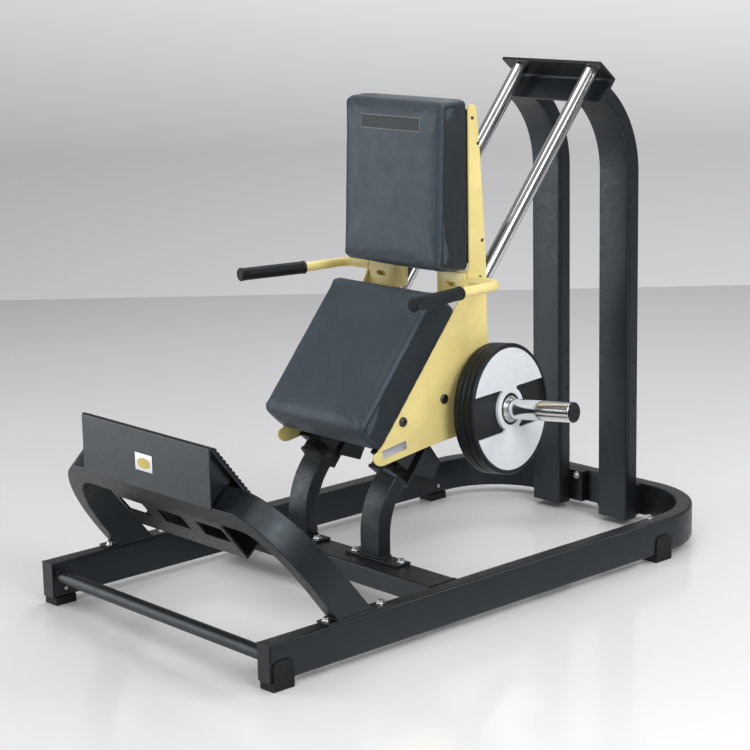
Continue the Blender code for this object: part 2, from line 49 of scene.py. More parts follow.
ROD_X, ROD_R, SIDE_X = 0.124, 0.0195, 0.177
PLATE_T = 0.005
HORN_R, DISC_R, DISC_T = 0.025, 0.161, 0.029
HORN_Y, HORN_Z = 0.9186, 0.4252
YAW, UP = math.radians(9.0), math.radians(4.8)
CAMERA_AT, CAMERA_AZ = Vector((3.67, -3.405, 1.616)), math.radians(47.74)
X, Y, Z = Vector((1, 0, 0)), Vector((0, 1, 0)), Vector((0, 0, 1))
U, V = Vector((0, CU, SU)), Vector((0, SU, -CU))
SIDES = (("right", 1), ("left", -1))


def place(x, along, z):
    return Vector((x, along - LENGTH / 2, z))


def incl(x, u, v):
    """Point from the rods' own frame: u up along the rods, v behind their axes."""
    w = v + ROD_V
    return place(x, u * CU + w * SU, u * SU - w * CU)


# ---- materials ----
class Nodes:
    """Small helper that adds shader nodes to one material."""

    def __init__(self, name):
        self.mat = bpy.data.materials.new(name)
        self.mat.use_nodes = True
        self.tree = self.mat.node_tree
        self.bsdf = self.tree.nodes["Principled BSDF"]
        self.co = self.add("TexCoord").outputs["Object"]

    def add(self, kind, **inputs):
        node = self.tree.nodes.new("ShaderNode" + kind)
        for key, value in inputs.items():
            self.put(node.inputs[key.replace("_", " ")], value)
        return node

    def put(self, socket, value):
        if isinstance(value, bpy.types.NodeSocket):
            self.tree.links.new(value, socket)
        else:
            socket.default_value = value

    def noise(self, scale, detail=3.0, rough=0.5, stretch=None, distort=0.0):
        co = self.co
        if stretch:
            co = self.add("Mapping", Vector=co, Scale=stretch).outputs["Vector"]
        n = self.add("TexNoise", Vector=co, Scale=scale, Detail=detail, Roughness=rough,
                     Distortion=distort)
        return n.outputs["Fac"]

    def spread(self, fac, lo, hi, a=0.3, b=0.7):
        """Map fac from a..b to lo..hi, clamped."""
        m = self.add("MapRange")
        keys = ("Value", "From Min", "From Max", "To Min", "To Max")
        for key, v in zip(keys, (fac, a, b, lo, hi)):
            self.put(m.inputs[key], v)
        return m.outputs["Result"]

    def blend(self, fac, c1, c2):
        m = self.add("MixRGB")
        self.put(m.inputs["Fac"], fac)
        self.put(m.inputs["Color1"], (*c1, 1.0) if isinstance(c1, tuple) else c1)
        self.put(m.inputs["Color2"], (*c2, 1.0) if isinstance(c2, tuple) else c2)
        return m.outputs["Color"]

    def math(self, op, a, b=0.0):
        m = self.add("Math")
        m.operation = op
        self.put(m.inputs[0], a)
        self.put(m.inputs[1], b)
        return m.outputs["Value"]

    def bump(self, height, strength, distance, normal=None):
        b = self.add("Bump", Height=height, Strength=strength, Distance=distance)
        if normal is not None:
            self.put(b.inputs["Normal"], normal)
        return b.outputs["Normal"]

    def shade(self, **inputs):
        for key, value in inputs.items():
            self.put(self.bsdf.inputs[key.replace("_", " ")], value)
        return self.mat


COOL = (0.8, 0.92, 1.0)


def tint(rgb, k):
    return tuple(min(1.0, c * k) for c in rgb)


def powder_coat(name, rgb, rough, dust=0.25, spec=0.5, glint=(1.0, 1.0, 1.0)):
    """Satin powder coat: fine orange peel, cloudy tone, a little handling dust and small scuffs."""
    n = Nodes(name)
    cloud = n.noise(5.0, 4.0, 0.6)
    base = n.blend(n.spread(cloud, 0.0, 1.0, 0.35, 0.65), tint(rgb, 0.9), tint(rgb, 1.12))
    fine = n.noise(60.0, 5.0, 0.65)
    haze = n.spread(n.math("MULTIPLY", cloud, fine), 0.0, dust, 0.26, 0.46)
    grey = sum(rgb) / 3
    col = n.blend(haze, base, (grey + 0.035, grey + 0.036, grey + 0.038))
    scuff = n.spread(n.noise(38.0, 8.0, 0.7, stretch=(1.0, 0.35, 2.2)), 0.0, 0.25, 0.7, 0.8)
    col = n.blend(scuff, col, tint((grey * 1.5 + 0.02,) * 3, 1.0))
    peel = n.noise(820.0, 2.0, 0.5)
    wave = n.noise(140.0, 2.0, 0.5)
    nor = n.bump(peel, 0.22, 0.00035)
    nor = n.bump(wave, 0.1, 0.0008, nor)
    return n.shade(Base_Color=col, Roughness=n.spread(fine, rough - 0.06, rough + 0.1), Normal=nor,
                   Specular_IOR_Level=spec, Specular_Tint=(*glint, 1.0))


def chromed(name, rgb=(0.83, 0.84, 0.85), rough=0.07, along=(1.0, 1.0, 1.0)):
    """Hard chrome over ground steel: mirror-like, with faint lengthwise wipe marks."""
    n = Nodes(name)
    wipe = n.noise(160.0, 4.0, 0.6, stretch=along)
    smear = n.noise(9.0, 3.0, 0.5)
    r = n.spread(n.math("MULTIPLY", wipe, smear), rough * 0.7, rough * 2.4, 0.15, 0.4)
    col = n.blend(n.spread(smear, 0.0, 1.0), tint(rgb, 0.94), rgb)
    return n.shade(Base_Color=col, Roughness=r, Metallic=1.0, Normal=n.bump(wipe, 0.05, 0.0001))


def zinc(name, rgb=(0.7, 0.71, 0.72), rough=0.28):
    """Plated steel, finely mottled."""
    n = Nodes(name)
    f = n.noise(300.0, 4.0, 0.6)
    col = n.blend(n.spread(f, 0.0, 1.0), tint(rgb, 0.8), rgb)
    return n.shade(Base_Color=col, Roughness=n.spread(f, rough - 0.08, rough + 0.14), Metallic=1.0,
                   Normal=n.bump(f, 0.1, 0.0002))


def moulded(name, rgb, rough, grain=500.0, depth=0.0004, dust=0.2):
    """Moulded rubber or plastic: fine spark-eroded grain and pale dust in the tone."""
    n = Nodes(name)
    tone, fine = n.noise(14.0, 5.0, 0.6), n.noise(grain, 3.0, 0.6)
    base = n.blend(n.spread(tone, 0.0, 1.0), tint(rgb, 0.8), tint(rgb, 1.3))
    dusty = n.spread(n.math("MULTIPLY", tone, fine), 0.0, dust, 0.26, 0.5)
    col = n.blend(dusty, base, tint(tuple(c + 0.045 for c in rgb), 1.0))
    return n.shade(Base_Color=col, Roughness=n.spread(fine, rough - 0.06, rough + 0.1),
                   Normal=n.bump(fine, 0.3, depth), Specular_IOR_Level=0.34,
                   Specular_Tint=(*COOL, 1.0))


def upholstery(name, rgb):
    """Grained synthetic leather: cellular pebble, pores, soft creases and a dry sheen."""
    n = Nodes(name)
    warp = n.add("TexNoise", Vector=n.co, Scale=120.0, Detail=2.0).outputs["Color"]
    co = n.add("VectorMath")
    co.operation = "MULTIPLY_ADD"
    n.put(co.inputs[0], warp)
    n.put(co.inputs[1], (0.0022, 0.0022, 0.0022))
    n.put(co.inputs[2], n.co)
    cell = n.add("TexVoronoi", Vector=co.outputs["Vector"], Scale=520.0)
    cell.feature = "DISTANCE_TO_EDGE"
    pebble = n.spread(cell.outputs["Distance"], 0.0, 1.0, 0.0, 0.22)
    tone, crease = n.noise(7.0, 4.0, 0.6), n.noise(26.0, 6.0, 0.6, distort=0.6)
    base = n.blend(n.spread(tone, 0.0, 1.0), tint(rgb, 0.88), tint(rgb, 1.14))
    # Painted shade: the colour darkens towards the pebbles' edges, in the valleys of the grain.
    col = n.blend(n.spread(pebble, 0.3, 0.0, 0.0, 0.6), base, tint(rgb, 0.55))
    nor = n.bump(pebble, 0.26, 0.00045)
    nor = n.bump(n.noise(1500.0, 2.0), 0.1, 0.0002, nor)
    nor = n.bump(crease, 0.22, 0.0022, nor)
    m = n.shade(Base_Color=col, Roughness=n.spread(crease, 0.4, 0.54), Normal=nor,
                Specular_IOR_Level=0.42, Specular_Tint=(*COOL, 1.0), Sheen_Weight=0.04,
                Sheen_Roughness=0.45)
    n.bsdf.inputs["Sheen Tint"].default_value = (0.75, 0.82, 0.9, 1.0)
    return m


def satin_white(name):
    """Painted face of the outer weight plates, with faint grime."""
    n = Nodes(name)
    grime = n.spread(n.noise(45.0, 7.0, 0.7), 0.0, 0.45, 0.52, 0.8)
    col = n.blend(grime, (0.66, 0.69, 0.72), (0.46, 0.47, 0.49))
    return n.shade(Base_Color=col, Roughness=n.spread(n.noise(90.0), 0.36, 0.52),
                   Normal=n.bump(n.noise(600.0), 0.15, 0.0003))


def stage_floor(name):
    """Pale studio floor with a soft mirror."""
    n = Nodes(name)
    col = n.blend(n.spread(n.noise(0.6, 2.0), 0.0, 1.0), (0.8, 0.8, 0.81), (0.84, 0.84, 0.85))
    return n.shade(Base_Color=col, Roughness=n.spread(n.noise(3.0), 0.1, 0.14),
                   Specular_IOR_Level=0.6)


CHARCOAL = powder_coat("charcoal_paint", (0.006, 0.0072, 0.0086), 0.36, 0.06, 0.46, COOL)
YELLOW = powder_coat("yellow_paint", (0.76, 0.635, 0.245), 0.34, dust=0.06)
CHROME = chromed("chromed_rods", along=(1.0, 0.05, 0.05))
CHROME_HORN = chromed("chromed_horns", along=(0.05, 1.0, 1.0))
ZINC = zinc("zinc_plated")
DARK_STEEL = zinc("blackened_screws", (0.1, 0.1, 0.11), 0.35)
RUBBER = moulded("black_rubber", (0.005, 0.0052, 0.0056), 0.58, dust=0.06)
PLATE_RUBBER = moulded("plate_rubber", (0.0036, 0.004, 0.0046), 0.42, 420.0, 0.0003, dust=0.04)
FOAM = moulded("grip_rubber", (0.005, 0.0056, 0.0066), 0.52, 900.0, 0.0005, dust=0.05)
PLASTIC = moulded("black_plastic", (0.006, 0.0066, 0.0076), 0.4, 700.0, 0.0002, dust=0.05)
VINYL = upholstery("slate_upholstery", (0.042, 0.0545, 0.069))
# Painted shade: a darker copy of the slate upholstery for the pads' side panels, standing for the
# shade on the pads' sides.
VINYL_SIDE_PAINTED_SHADE = upholstery("side_upholstery_painted_shade", (0.0095, 0.013, 0.017))
THREAD = moulded("sewing_thread", (0.02, 0.024, 0.03), 0.7, 2500.0, 0.0002)
BOARD = moulded("painted_board", (0.012, 0.012, 0.013), 0.58, 260.0, 0.0004, dust=0.08)
WHITE = satin_white("white_plate_paint")
SILVER = zinc("silver_label", (0.62, 0.63, 0.66), 0.34)
AMBER = powder_coat("amber_enamel", (0.62, 0.47, 0.1), 0.3, dust=0.05)
BORDER = moulded("badge_border", (0.2, 0.2, 0.19), 0.45, 700.0, 0.0002)

scene = bpy.context.scene


# ---- mesh helpers ----
def to_mesh(bm):
    """The finished mesh of one piece, which gives it its name."""
    bmesh.ops.recalc_face_normals(bm, faces=bm.faces)
    me = bpy.data.meshes.new("mesh")
    bm.to_mesh(me)
    bm.free()
    return me


def piece(name, me, mat, body="frame", nodes=(), angle=38.0, bevel=0.0, segs=3):
    """Link a mesh as a piece on a body; nodes are the CAD nodes that it stands for."""
    me.name = name
    ob = bpy.data.objects.new(name, me)
    scene.collection.objects.link(ob)
    me.materials.clear()
    me.materials.append(mat)
    me.shade_smooth()
    me.set_sharp_from_angle(angle=math.radians(angle))
    if bevel:
        m = ob.modifiers.new("Bevel", "BEVEL")
        m.width, m.segments, m.limit_method = bevel, segs, "ANGLE"
        m.angle_limit = math.radians(32.0)
        m.harden_normals = True
    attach(ob, body)
    if nodes:
        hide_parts(*nodes)
    return ob


def stand_in(node, me, mat, body="frame", **kw):
    """The piece that replaces one CAD node."""
    return piece("fine_" + node, me, mat, body, (node,), **kw)


def refine(node, mat, bevel, segs=3, body="frame"):
    """A CAD node's own shape with rounded edges."""
    stand_in(node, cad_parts[node].data.copy(), mat, body, bevel=bevel, segs=segs)


def bridge(bm, rows, closed=False):
    """Faces between successive loops of vertices; a loop may be a single vertex."""
    n = max(len(row) for row in rows)
    for a, b in zip(rows, rows[1:] + rows[:1] if closed else rows[1:]):
        for i in range(n if len(a) + len(b) > 2 else 0):
            j = (i + 1) % n
            quad = (a[i % len(a)], a[j % len(a)], b[j % len(b)], b[i % len(b)])
            bm.faces.new(list(dict.fromkeys(quad)))


def skin(bm, rings, closed=False):
    """Surface through rings of points, capped at both ends unless it closes on itself."""
    rows = [[bm.verts.new(p) for p in ring] for ring in rings]
    bridge(bm, rows, closed)
    if not closed:
        bm.faces.new(rows[0])
        bm.faces.new(list(reversed(rows[-1])))


def loft(rings, closed=False):
    bm = bmesh.new()
    skin(bm, rings, closed)
    return to_mesh(bm)


def prism(outline, offset):
    """Outline extruded by an offset."""
    return loft([outline, [p + offset for p in outline]])


def rect(w, h, r, k=6):
    """Outline of a rectangle with rounded corners."""
    pts = []
    for cx, cy, a0 in ((1, 1, 0), (-1, 1, 90), (-1, -1, 180), (1, -1, 270)):
        start = math.radians(a0)
        pts += arc(r, start, start + math.pi / 2, k, cx * (w / 2 - r), cy * (h / 2 - r))
    return pts


def arc(r, a, b, k, x=0.0, y=0.0):
    """Points on an arc from angle a to angle b, in k steps."""
    return [(x + r * math.cos(a + (b - a) * i / k), y + r * math.sin(a + (b - a) * i / k))
            for i in range(k + 1)]


def circle(r, n=64):
    return [(r * math.cos(math.tau * i / n), r * math.sin(math.tau * i / n)) for i in range(n)]


def sweep(path, side, section):
    """Section carried along a path that stays square to one side direction."""
    rings = []
    for i, p in enumerate(path):
        t = (path[min(i + 1, len(path) - 1)] - path[max(i - 1, 0)]).normalized()
        other = t.cross(side).normalized()
        rings.append([p + side * a + other * b for a, b in section])
    return loft(rings)


def basis(axis):
    """Unit axis and two directions across it."""
    a = axis.normalized()
    ref = Z if abs(a.z) < 0.9 else Y
    e = ref.cross(a).normalized()
    return a, e, a.cross(e)


def turn(bm, base, axis, rows, n=96, closed=False):
    """Turned solid from (radius, distance) rows; a third value of 6 makes that row a hexagon."""
    a, e, f = basis(axis)
    loops = []
    for row in rows:
        r, t = row[0], row[1]
        if r < 1e-9:
            loops.append([bm.verts.new(base + a * t)])
            continue
        ring = []
        for i in range(n):
            th = math.tau * i / n
            q = r / math.cos((th % (math.pi / 3)) - math.pi / 6) if len(row) > 2 else r
            ring.append(bm.verts.new(base + a * t + (e * math.cos(th) + f * math.sin(th)) * q))
        loops.append(ring)
    bridge(bm, loops, closed)


def turned(base, axis, rows, n=96, closed=False):
    bm = bmesh.new()
    turn(bm, base, axis, rows, n, closed)
    return to_mesh(bm)


def arc_rows(r0, t0, r1, t1, k=5, bulge=1.0):
    """Quarter-round between two (radius, distance) rows, convex away from the axis."""
    rows = []
    for i in range(1, k):
        a = math.radians(90.0 * i / k)
        rows.append((r0 + (r1 - r0) * math.sin(a), t0 + (t1 - t0) * (1 - math.cos(a))) if bulge > 0
                    else (r0 + (r1 - r0) * (1 - math.cos(a)), t0 + (t1 - t0) * math.sin(a)))
    return rows


def tube(bm, pts, r, n=10, closed=False, ripple=0.0):
    """Round bead along points, with an optional weld-like ripple."""
    rings, m = [], len(pts)
    for i, p in enumerate(pts):
        nxt = pts[(i + 1) % m] if closed else pts[min(i + 1, m - 1)]
        prv = pts[i - 1] if closed else pts[max(i - 1, 0)]
        t, e, f = basis(nxt - prv)
        q = r * (1 + ripple * math.sin(i * 2.4))
        rings.append([p + (e * math.cos(math.tau * k / n) + f * math.sin(math.tau * k / n)) * q
                      for k in range(n)])
    skin(bm, rings, closed)


def resample(pts, step, closed=True):
    """Evenly spaced points along a polyline."""
    src = pts + [pts[0]] if closed else list(pts)
    seg = [(b - a).length for a, b in zip(src[:-1], src[1:])]
    total = sum(seg)
    count = max(8, int(total / step))
    out, k, run = [], 0, 0.0
    for i in range(count if closed else count + 1):
        d = total * i / count
        while k < len(seg) - 1 and run + seg[k] < d:
            run += seg[k]
            k += 1
        out.append(src[k].lerp(src[k + 1], min(1.0, (d - run) / max(seg[k], 1e-9))))
    return out


def fillet(pts, radii, k=6):
    """Round each corner of a closed 2-D outline by its radius, as far as its edges allow."""
    out, n = [], len(pts)
    for i in range(n):
        a, b, c = Vector(pts[i - 1]), Vector(pts[i]), Vector(pts[(i + 1) % n])
        p, q = a - b, c - b
        ang = p.angle(q)
        cut = min(radii[i] / math.tan(ang / 2), 0.48 * p.length, 0.48 * q.length)
        if cut < 1e-5 or ang > math.radians(178):
            out.append((b.x, b.y))
            continue
        s, e = b + p.normalized() * cut, b + q.normalized() * cut
        for j in range(k + 1):
            t = j / k
            pt = s * (1 - t) ** 2 + b * 2 * t * (1 - t) + e * t * t
            out.append((pt.x, pt.y))
    return out


def block_mesh(centre, ex, ey, ez, size, bevel, seg=4):
    """Box with rounded edges, its sides along the three given directions."""
    bm = bmesh.new()
    bmesh.ops.create_cube(bm, size=1.0)
    for v in bm.verts:
        v.co = Vector((v.co.x * size[0], v.co.y * size[1], v.co.z * size[2]))
    if bevel:
        bmesh.ops.bevel(bm, geom=list(bm.edges), offset=bevel, segments=seg, profile=0.5,
                        affect="EDGES", clamp_overlap=True)
    for v in bm.verts:
        v.co = centre + ex * v.co.x + ey * v.co.y + ez * v.co.z
    return to_mesh(bm)


def hex_bolt(bm, p, axis, af=0.013, head=0.006, washer=0.0105):
    """Hex head on a washer, standing on point p."""
    a = axis.normalized()
    thick = 0.0014
    rows = [(0, 0), (washer, 0), (washer + 0.0003, 0.0006), (washer, thick), (0, thick)]
    turn(bm, p, a, rows, 48)
    turn(bm, p + a * thick, a, [(0, 0), (af / 2, 0, 6), (af / 2, head * 0.8, 6),
                                 (af / 2 * 0.97, head, 6), (af * 0.4, head * 1.02), (0, head)], 48)


def cap_screw(bm, p, axis, r=0.009, head=0.005, key=0.0045, dome=True):
    """Round head with a hexagon socket, standing on point p."""
    rows = [(0, 0), (r, 0)]
    rows += [(r, head * 0.35), (r * 0.93, head * 0.72), (r * 0.76, head)] if dome else \
            [(r, head * 0.85), (r * 0.94, head)]
    rows += [(key * 1.12, head), (key, head * 0.94, 6), (key, head * 0.25, 6), (0, head * 0.2)]
    turn(bm, p, axis, rows, 48)


def fasteners(name, mat, items, kind=hex_bolt, body="frame", **kw):
    """One piece that holds a group of screws or bolts, given as (point, axis) pairs."""
    bm = bmesh.new()
    for p, axis in items:
        kind(bm, p, axis, **kw)
    piece(name, to_mesh(bm), mat, body, angle=30.0)


def weld(name, loops, body="frame", mat=CHARCOAL, r=0.0026):
    """Rippled weld beads along closed loops."""
    bm = bmesh.new()
    for loop in loops:
        tube(bm, resample(loop, 0.0035), r, 8, True, 0.16)
    piece(name, to_mesh(bm), mat, body, angle=80.0)


def ring_loop(c, axis, r, n=40):
    """Circle of points round an axis."""
    a, e, f = basis(axis)
    return [c + (e * x + f * y) * r for x, y in circle(1.0, n)]


# ---- base ----
def rail_path():
    """Centre line of the U-shaped base rail, from its right end round the rear bow."""
    c, r, cy = WIDTH / 2 - RAIL_W / 2, BOW_R - RAIL_W / 2, LENGTH - BOW_R
    pts = [(c, 0.004 + (cy - 0.004) * i / 8) for i in range(8)]
    pts += arc(r, 0.0, math.pi / 2, 40, c - r, cy)
    pts += [(0.0, cy + r)] + [(-x, y) for x, y in reversed(pts)]
    return [place(x, y, (RAIL_Z0 + RAIL_Z1) / 2) for x, y in pts]


def base():
    me = sweep(rail_path(), Z, rect(RAIL_Z1 - RAIL_Z0, RAIL_W, 0.0055))
    stand_in("base_rail", me, CHARCOAL)
    xi = WIDTH / 2 - RAIL_W - GAP
    ends = []
    for side, s in SIDES:
        refine("rail_cap_" + side, PLASTIC, 0.0011, 4)
        for end in ("front_", "rear_"):
            refine("foot_" + end + side, RUBBER, 0.0014, 3)
        refine("arch_flange_" + side, CHARCOAL, 0.001)
        refine("leg_flange_" + side, CHARCOAL, 0.0012)
        refine("upright_shoe_" + side, CHARCOAL, 0.0016)
        ends.append(ring_loop(place(s * (xi - 0.0018), 0.026, 0.071), X, 0.0174))
    bar = [(0, 0), (0.0165, 0), (0.0165, 2 * xi), (0, 2 * xi)]
    me = turned(place(-xi, 0.026, 0.071), X, bar, 72)
    stand_in("front_crossbar", me, CHARCOAL)
    weld("crossbar_welds", ends)
    refine("cross_member", CHARCOAL, 0.0015)
    loops = [[place(s * (xi - 0.0016), y, z) for y, z in
              [(0.555 + a, 0.083 + b) for a, b in rect(0.09, 0.05, 0.006, 3)]] for _, s in SIDES]
    weld("cross_member_welds", loops, r=0.0024)
    screws = [(place(s * (WIDTH / 2 - RAIL_W - 0.001 + 0.0004), y, 0.04), X * -s)
              for _, s in SIDES for y in (0.036, 1.294)]
    fasteners("foot_screws", ZINC, screws, cap_screw, r=0.0052,
              head=0.0032, key=0.0024)
    bolts = [(place(s * x, y, RAIL_Z1 + h), Z) for x, y, h in (
        (0.404, 0.183, 0.0053), (0.404, 0.345, 0.0053), (0.219, 0.583, 0.0063),
        (0.071, 0.569, 0.0063), (0.392, 1.282, 0.0)) for _, s in SIDES]
    bolts += [(place(s * 0.048, 1.497, 0.095), -Y) for _, s in SIDES]
    fasteners("frame_bolts", ZINC, bolts)


# ---- uprights, legs, rods and brackets ----
def arc_path(x, y0, z0, z1, r, ang, tail, back, k=36):
    """Straight rise, an arc of radius r through ang, then a straight tail."""
    pts = [place(x, y0, z0 + (z1 - z0) * i / 6) for i in range(6)]
    for i in range(k + 1):
        t = ang * i / k
        pts.append(place(x, y0 + back * r * (1 - math.cos(t)), z1 + r * math.sin(t)))
    return pts + [pts[-1] + Vector((0, back * math.sin(ang), math.cos(ang))) * tail]


def grooved(w, h, r, depth=0.0012, width=0.0022, front=0.0085):
    """Rounded section with a fine groove on each narrow side, close to its front face."""
    pts = rect(w, h, r, 5)
    g0, g1 = -h / 2 + front + width / 2, -h / 2 + front - width / 2
    left = [(-w / 2, g0), (-w / 2 + depth, g0 - width * 0.3), (-w / 2 + depth, g1 + width * 0.3),
            (-w / 2, g1)]
    right = [(w / 2, g1), (w / 2 - depth, g1 + width * 0.3), (w / 2 - depth, g0 - width * 0.3),
             (w / 2, g0)]
    return pts[:12] + left + pts[12:] + right


def tower():
    r, end_u, upr_x, upr_y = 0.26, 1.7667, 0.12, 1.4745
    yc = upr_y - r * (1 - CU)
    zc = (end_u - yc * CU) / SU
    reach = (yc * SU - zc * CU - ROD_V) - (0.045 + GAP)
    section = grooved(0.1, 0.045, 0.0055)
    holes = bmesh.new()
    for side, s in SIDES:
        path = arc_path(s * upr_x, upr_y, 0.018, zc - r * SU, r, ANGLE, reach, -1)
        stand_in("upright_" + side, sweep(path, X, section), CHARCOAL)
        for z in (0.341, 0.45):
            for q in (1, -1):
                p = place(s * upr_x + q * 0.0499, 1.482, z)
                turn(holes, p, X * q, [(0, 0), (0.0052, 0), (0.0052, 0.0006), (0.004, 0.0007),
                                       (0.0038, 0.0002), (0, 0.0002)], 32)
    piece("upright_hole_plugs", to_mesh(holes), PLASTIC, angle=25)
    r, leg_x, leg_y = 0.19, 0.133, 0.579
    lean = math.pi / 2 - ANGLE
    yc, zc = leg_y + r * (1 - math.cos(lean)), 0.16 + r * math.sin(lean)
    z0 = RAIL_Z1 + 0.006 + 2 * GAP
    feet = []
    for side, s in SIDES:
        path = arc_path(s * leg_x, leg_y, z0, 0.16, r, lean, 0.628 - GAP - (yc * CU + zc * SU), 1)
        stand_in("leg_" + side, sweep(path, X, rect(0.07, 0.038, 0.0045)), CHARCOAL)
        feet.append([place(s * leg_x + a, leg_y + b, z0 + 0.0012)
                     for a, b in rect(0.071, 0.039, 0.005, 3)])
    weld("leg_welds", feet, r=0.0022)
    top_bracket()
    for side, _ in SIDES:
        refine("leg_head_" + side, CHARCOAL, 0.0012)
    nuts = [(incl(s * ROD_X, 1.816, 0), U) for _, s in SIDES]
    fasteners("rod_top_bolts", ZINC, nuts, hex_bolt, af=0.019, head=0.009,
              washer=0.0145)
    for side, s in SIDES:
        a, b = incl(s * ROD_X, 0.636 + GAP, 0), incl(s * ROD_X, 1.808 - GAP, 0)
        d = (b - a).length
        rows = [(0, 0), (ROD_R - 0.001, 0), (ROD_R, 0.001), (ROD_R, d - 0.001), (ROD_R - 0.001, d),
                (0, d)]
        stand_in("guide_rod_" + side, turned(a, b - a, rows, 96), CHROME)
        r1, r0, h = 0.03, ROD_R + GAP, 0.0174
        rows = [(r0, 0), (r1 - 0.001, 0), (r1, 0.001), (r1, 0.0062), (r1 - 0.0022, 0.0072),
                (r1 - 0.0022, 0.0088), (r1, 0.0098), (r1, h - 0.005), (r1 - 0.0015, h - 0.0015),
                (r1 - 0.005, h), (r0, h)]
        me = turned(incl(s * ROD_X, 0.6366, 0), U, rows, 72, True)
        stand_in("rod_bumper_" + side, me, RUBBER)


def top_bracket(web=1.808, low=1.7385, v0=-0.03, v1=0.045, t=0.008, bend=0.01):
    """Folded angle with an inner and an outer bend radius, on the rods' upper ends."""
    outline = [(web + t, v0), (web + t, v1), (low, v1), (low, v1 - t), (web, v1 - t), (web, v0)]
    points = fillet(outline, (0.0, bend / 2, 0.0, 0.0, bend, 0.0), 8)
    half = 0.171
    me = prism([incl(-half, u, v) for u, v in points], X * 2 * half)
    stand_in("top_bracket", me, CHARCOAL, bevel=0.0014)


# ---- foot platform ----
TREAD_ANGLE, TREAD_X, TREAD_L = math.radians(51.5), 0.238, 0.286
TC, TS = math.cos(TREAD_ANGLE), math.sin(TREAD_ANGLE)
RIDGE_Y, RIDGE_Z = 0.0185, 0.4985


def tread_point(x, d, h):
    """Point on the foot platform: d down its slope from the ridge, h above its plate's top."""
    return place(x, RIDGE_Y + d * TC + h * TS, RIDGE_Z - d * TS + h * TC)


def arch_edge(top, a, b, c, inner):
    """One long edge of the foot platform's arch, which leans by the curve a + b v + c v v."""
    off, lift = (0.042, 0.0459) if inner else (0.0, 0.0)
    rx, rz, h, x0, foot = 0.15, 0.207, top - RAIL_Z1, WIDTH / 2, 0.0056
    pts = [(x0 - off, foot + (h - rz - foot) * i / 6) for i in range(6)]
    for i in range(37):
        t = math.pi / 2 * i / 36
        pts.append((x0 - rx + (rx - off) * math.cos(t), h - rz + (rz - lift) * math.sin(t)))
    pts += [((x0 - rx) * (1 - i / 5), h - lift) for i in range(1, 6)]
    pts += [(-x, v) for x, v in reversed(pts[:-1])]
    return [place(x, a + b * v + c * v * v, RAIL_Z1 + v) for x, v in pts]


def platform():
    fo = arch_edge(0.3645, 0.203, -0.802, 0.363, False)
    fi = arch_edge(0.3645, 0.203, -0.802, 0.363, True)
    ro = arch_edge(0.409, 0.3057, -0.825, 0.09, False)
    ri = arch_edge(0.409, 0.3057, -0.825, 0.09, True)
    me = loft([list(c) for c in zip(fo, ro, ri, fi)])
    stand_in("platform_arch", me, CHARCOAL, bevel=0.0022, segs=4)
    loops = []
    for k in (0, -1):
        loop = [fo[k], ro[k], ri[k], fi[k]]
        mid = sum(loop, Vector()) / 4
        loops.append([p + (p - mid) * 0.012 + Z * 0.001 for p in loop])
    weld("arch_welds", loops, r=0.0024)
    t = 0.005
    fold = [(0.0065, 0.368)]
    for i in range(9):
        a = math.radians(180 - (180 - 51.5 + 13) * i / 8 * 0.93)
        fold.append((0.0125 + 0.006 * math.cos(a), 0.5 + 0.006 * math.sin(a)))
    outline = [place(-TREAD_X, *p) for p in fold]
    outline += [tread_point(-TREAD_X, TREAD_L, 0), tread_point(-TREAD_X, TREAD_L, -t)]
    outline += [place(-TREAD_X, *p) for p in ((0.0115, 0.4993), (0.0115, 0.368))]
    stand_in("footplate", prism(outline, X * 2 * TREAD_X), CHARCOAL, bevel=0.0008)
    tread()
    for node in ("platform_skin", "platform_end", "platform_rib_left", "platform_rib_right"):
        refine(node, CHARCOAL, 0.0007)
    badge = block_mesh(place(0, 0.0058, 0.43), X, Y, Z, (0.064, 0.0014, 0.04), 0.0006)
    piece("panel_badge", badge, SILVER)
    oval = [place(0.024 * x, 0.0052, 0.428 + 0.0125 * z) for x, z in circle(1.0, 56)]
    me = prism(oval, Y * -0.0006)
    piece("panel_badge_field", me, AMBER, bevel=0.0002, segs=2)


def tread():
    """Ribbed mat: rows of small chamfered blocks on a backing sheet."""
    bm = bmesh.new()
    pitch, rows, cols = 0.013, 21, 28
    end = 0.002 + rows * pitch
    sheet = [(0.002, GAP), (0.002, 0.0052), (end, 0.0052), (end, GAP)]
    ends = [tread_point(-TREAD_X, *p) for p in sheet]
    skin(bm, [ends, [p + X * 2 * TREAD_X for p in ends]])
    w = 2 * TREAD_X / cols
    for i in range(rows):
        for j in range(cols):
            x0, d0 = -TREAD_X + j * w, 0.002 + i * pitch
            rings = []
            for edge, a, b, h in ((0.0006, 0.0003, 0.0082, 0.005),
                                  (0.0014, 0.0012, 0.007, 0.0078),
                                  (0.002, 0.0018, 0.0064, 0.0085)):
                lo, hi = x0 + edge, x0 + w - edge
                rings.append([tread_point(x, d0 + d, h)
                              for x, d in ((lo, a), (hi, a), (hi, b), (lo, b))])
            skin(bm, rings)
    stand_in("tread_mat", to_mesh(bm), RUBBER, angle=30)


# ---- carriage ----
OUTLINE = [(0.5548, 0.379), (0.5455, 0.3768), (0.54, 0.3715), (0.5395, 0.364),
           (0.5425, 0.357), (0.549, 0.35), (0.558, 0.345), (0.571, 0.344),
           (0.623, 0.351), (0.733, 0.3647), (0.807, 0.3707), (0.955, 0.378),
           (0.978, 0.39), (0.988, 0.415), (0.988, 0.475), (0.972, 0.51),
           (0.94, 0.555), (0.925, 0.6), (0.922, 0.65), (0.9222, 0.755),
           (0.917, 0.842), (0.911, 0.94), (0.9025, 1.061), (0.8935, 1.157),
           (0.89, 1.166), (0.886, 1.171), (0.868, 1.171), (0.865, 1.168),
           (0.864, 0.79), (0.856, 0.75), (0.84, 0.72), (0.8105, 0.684)]


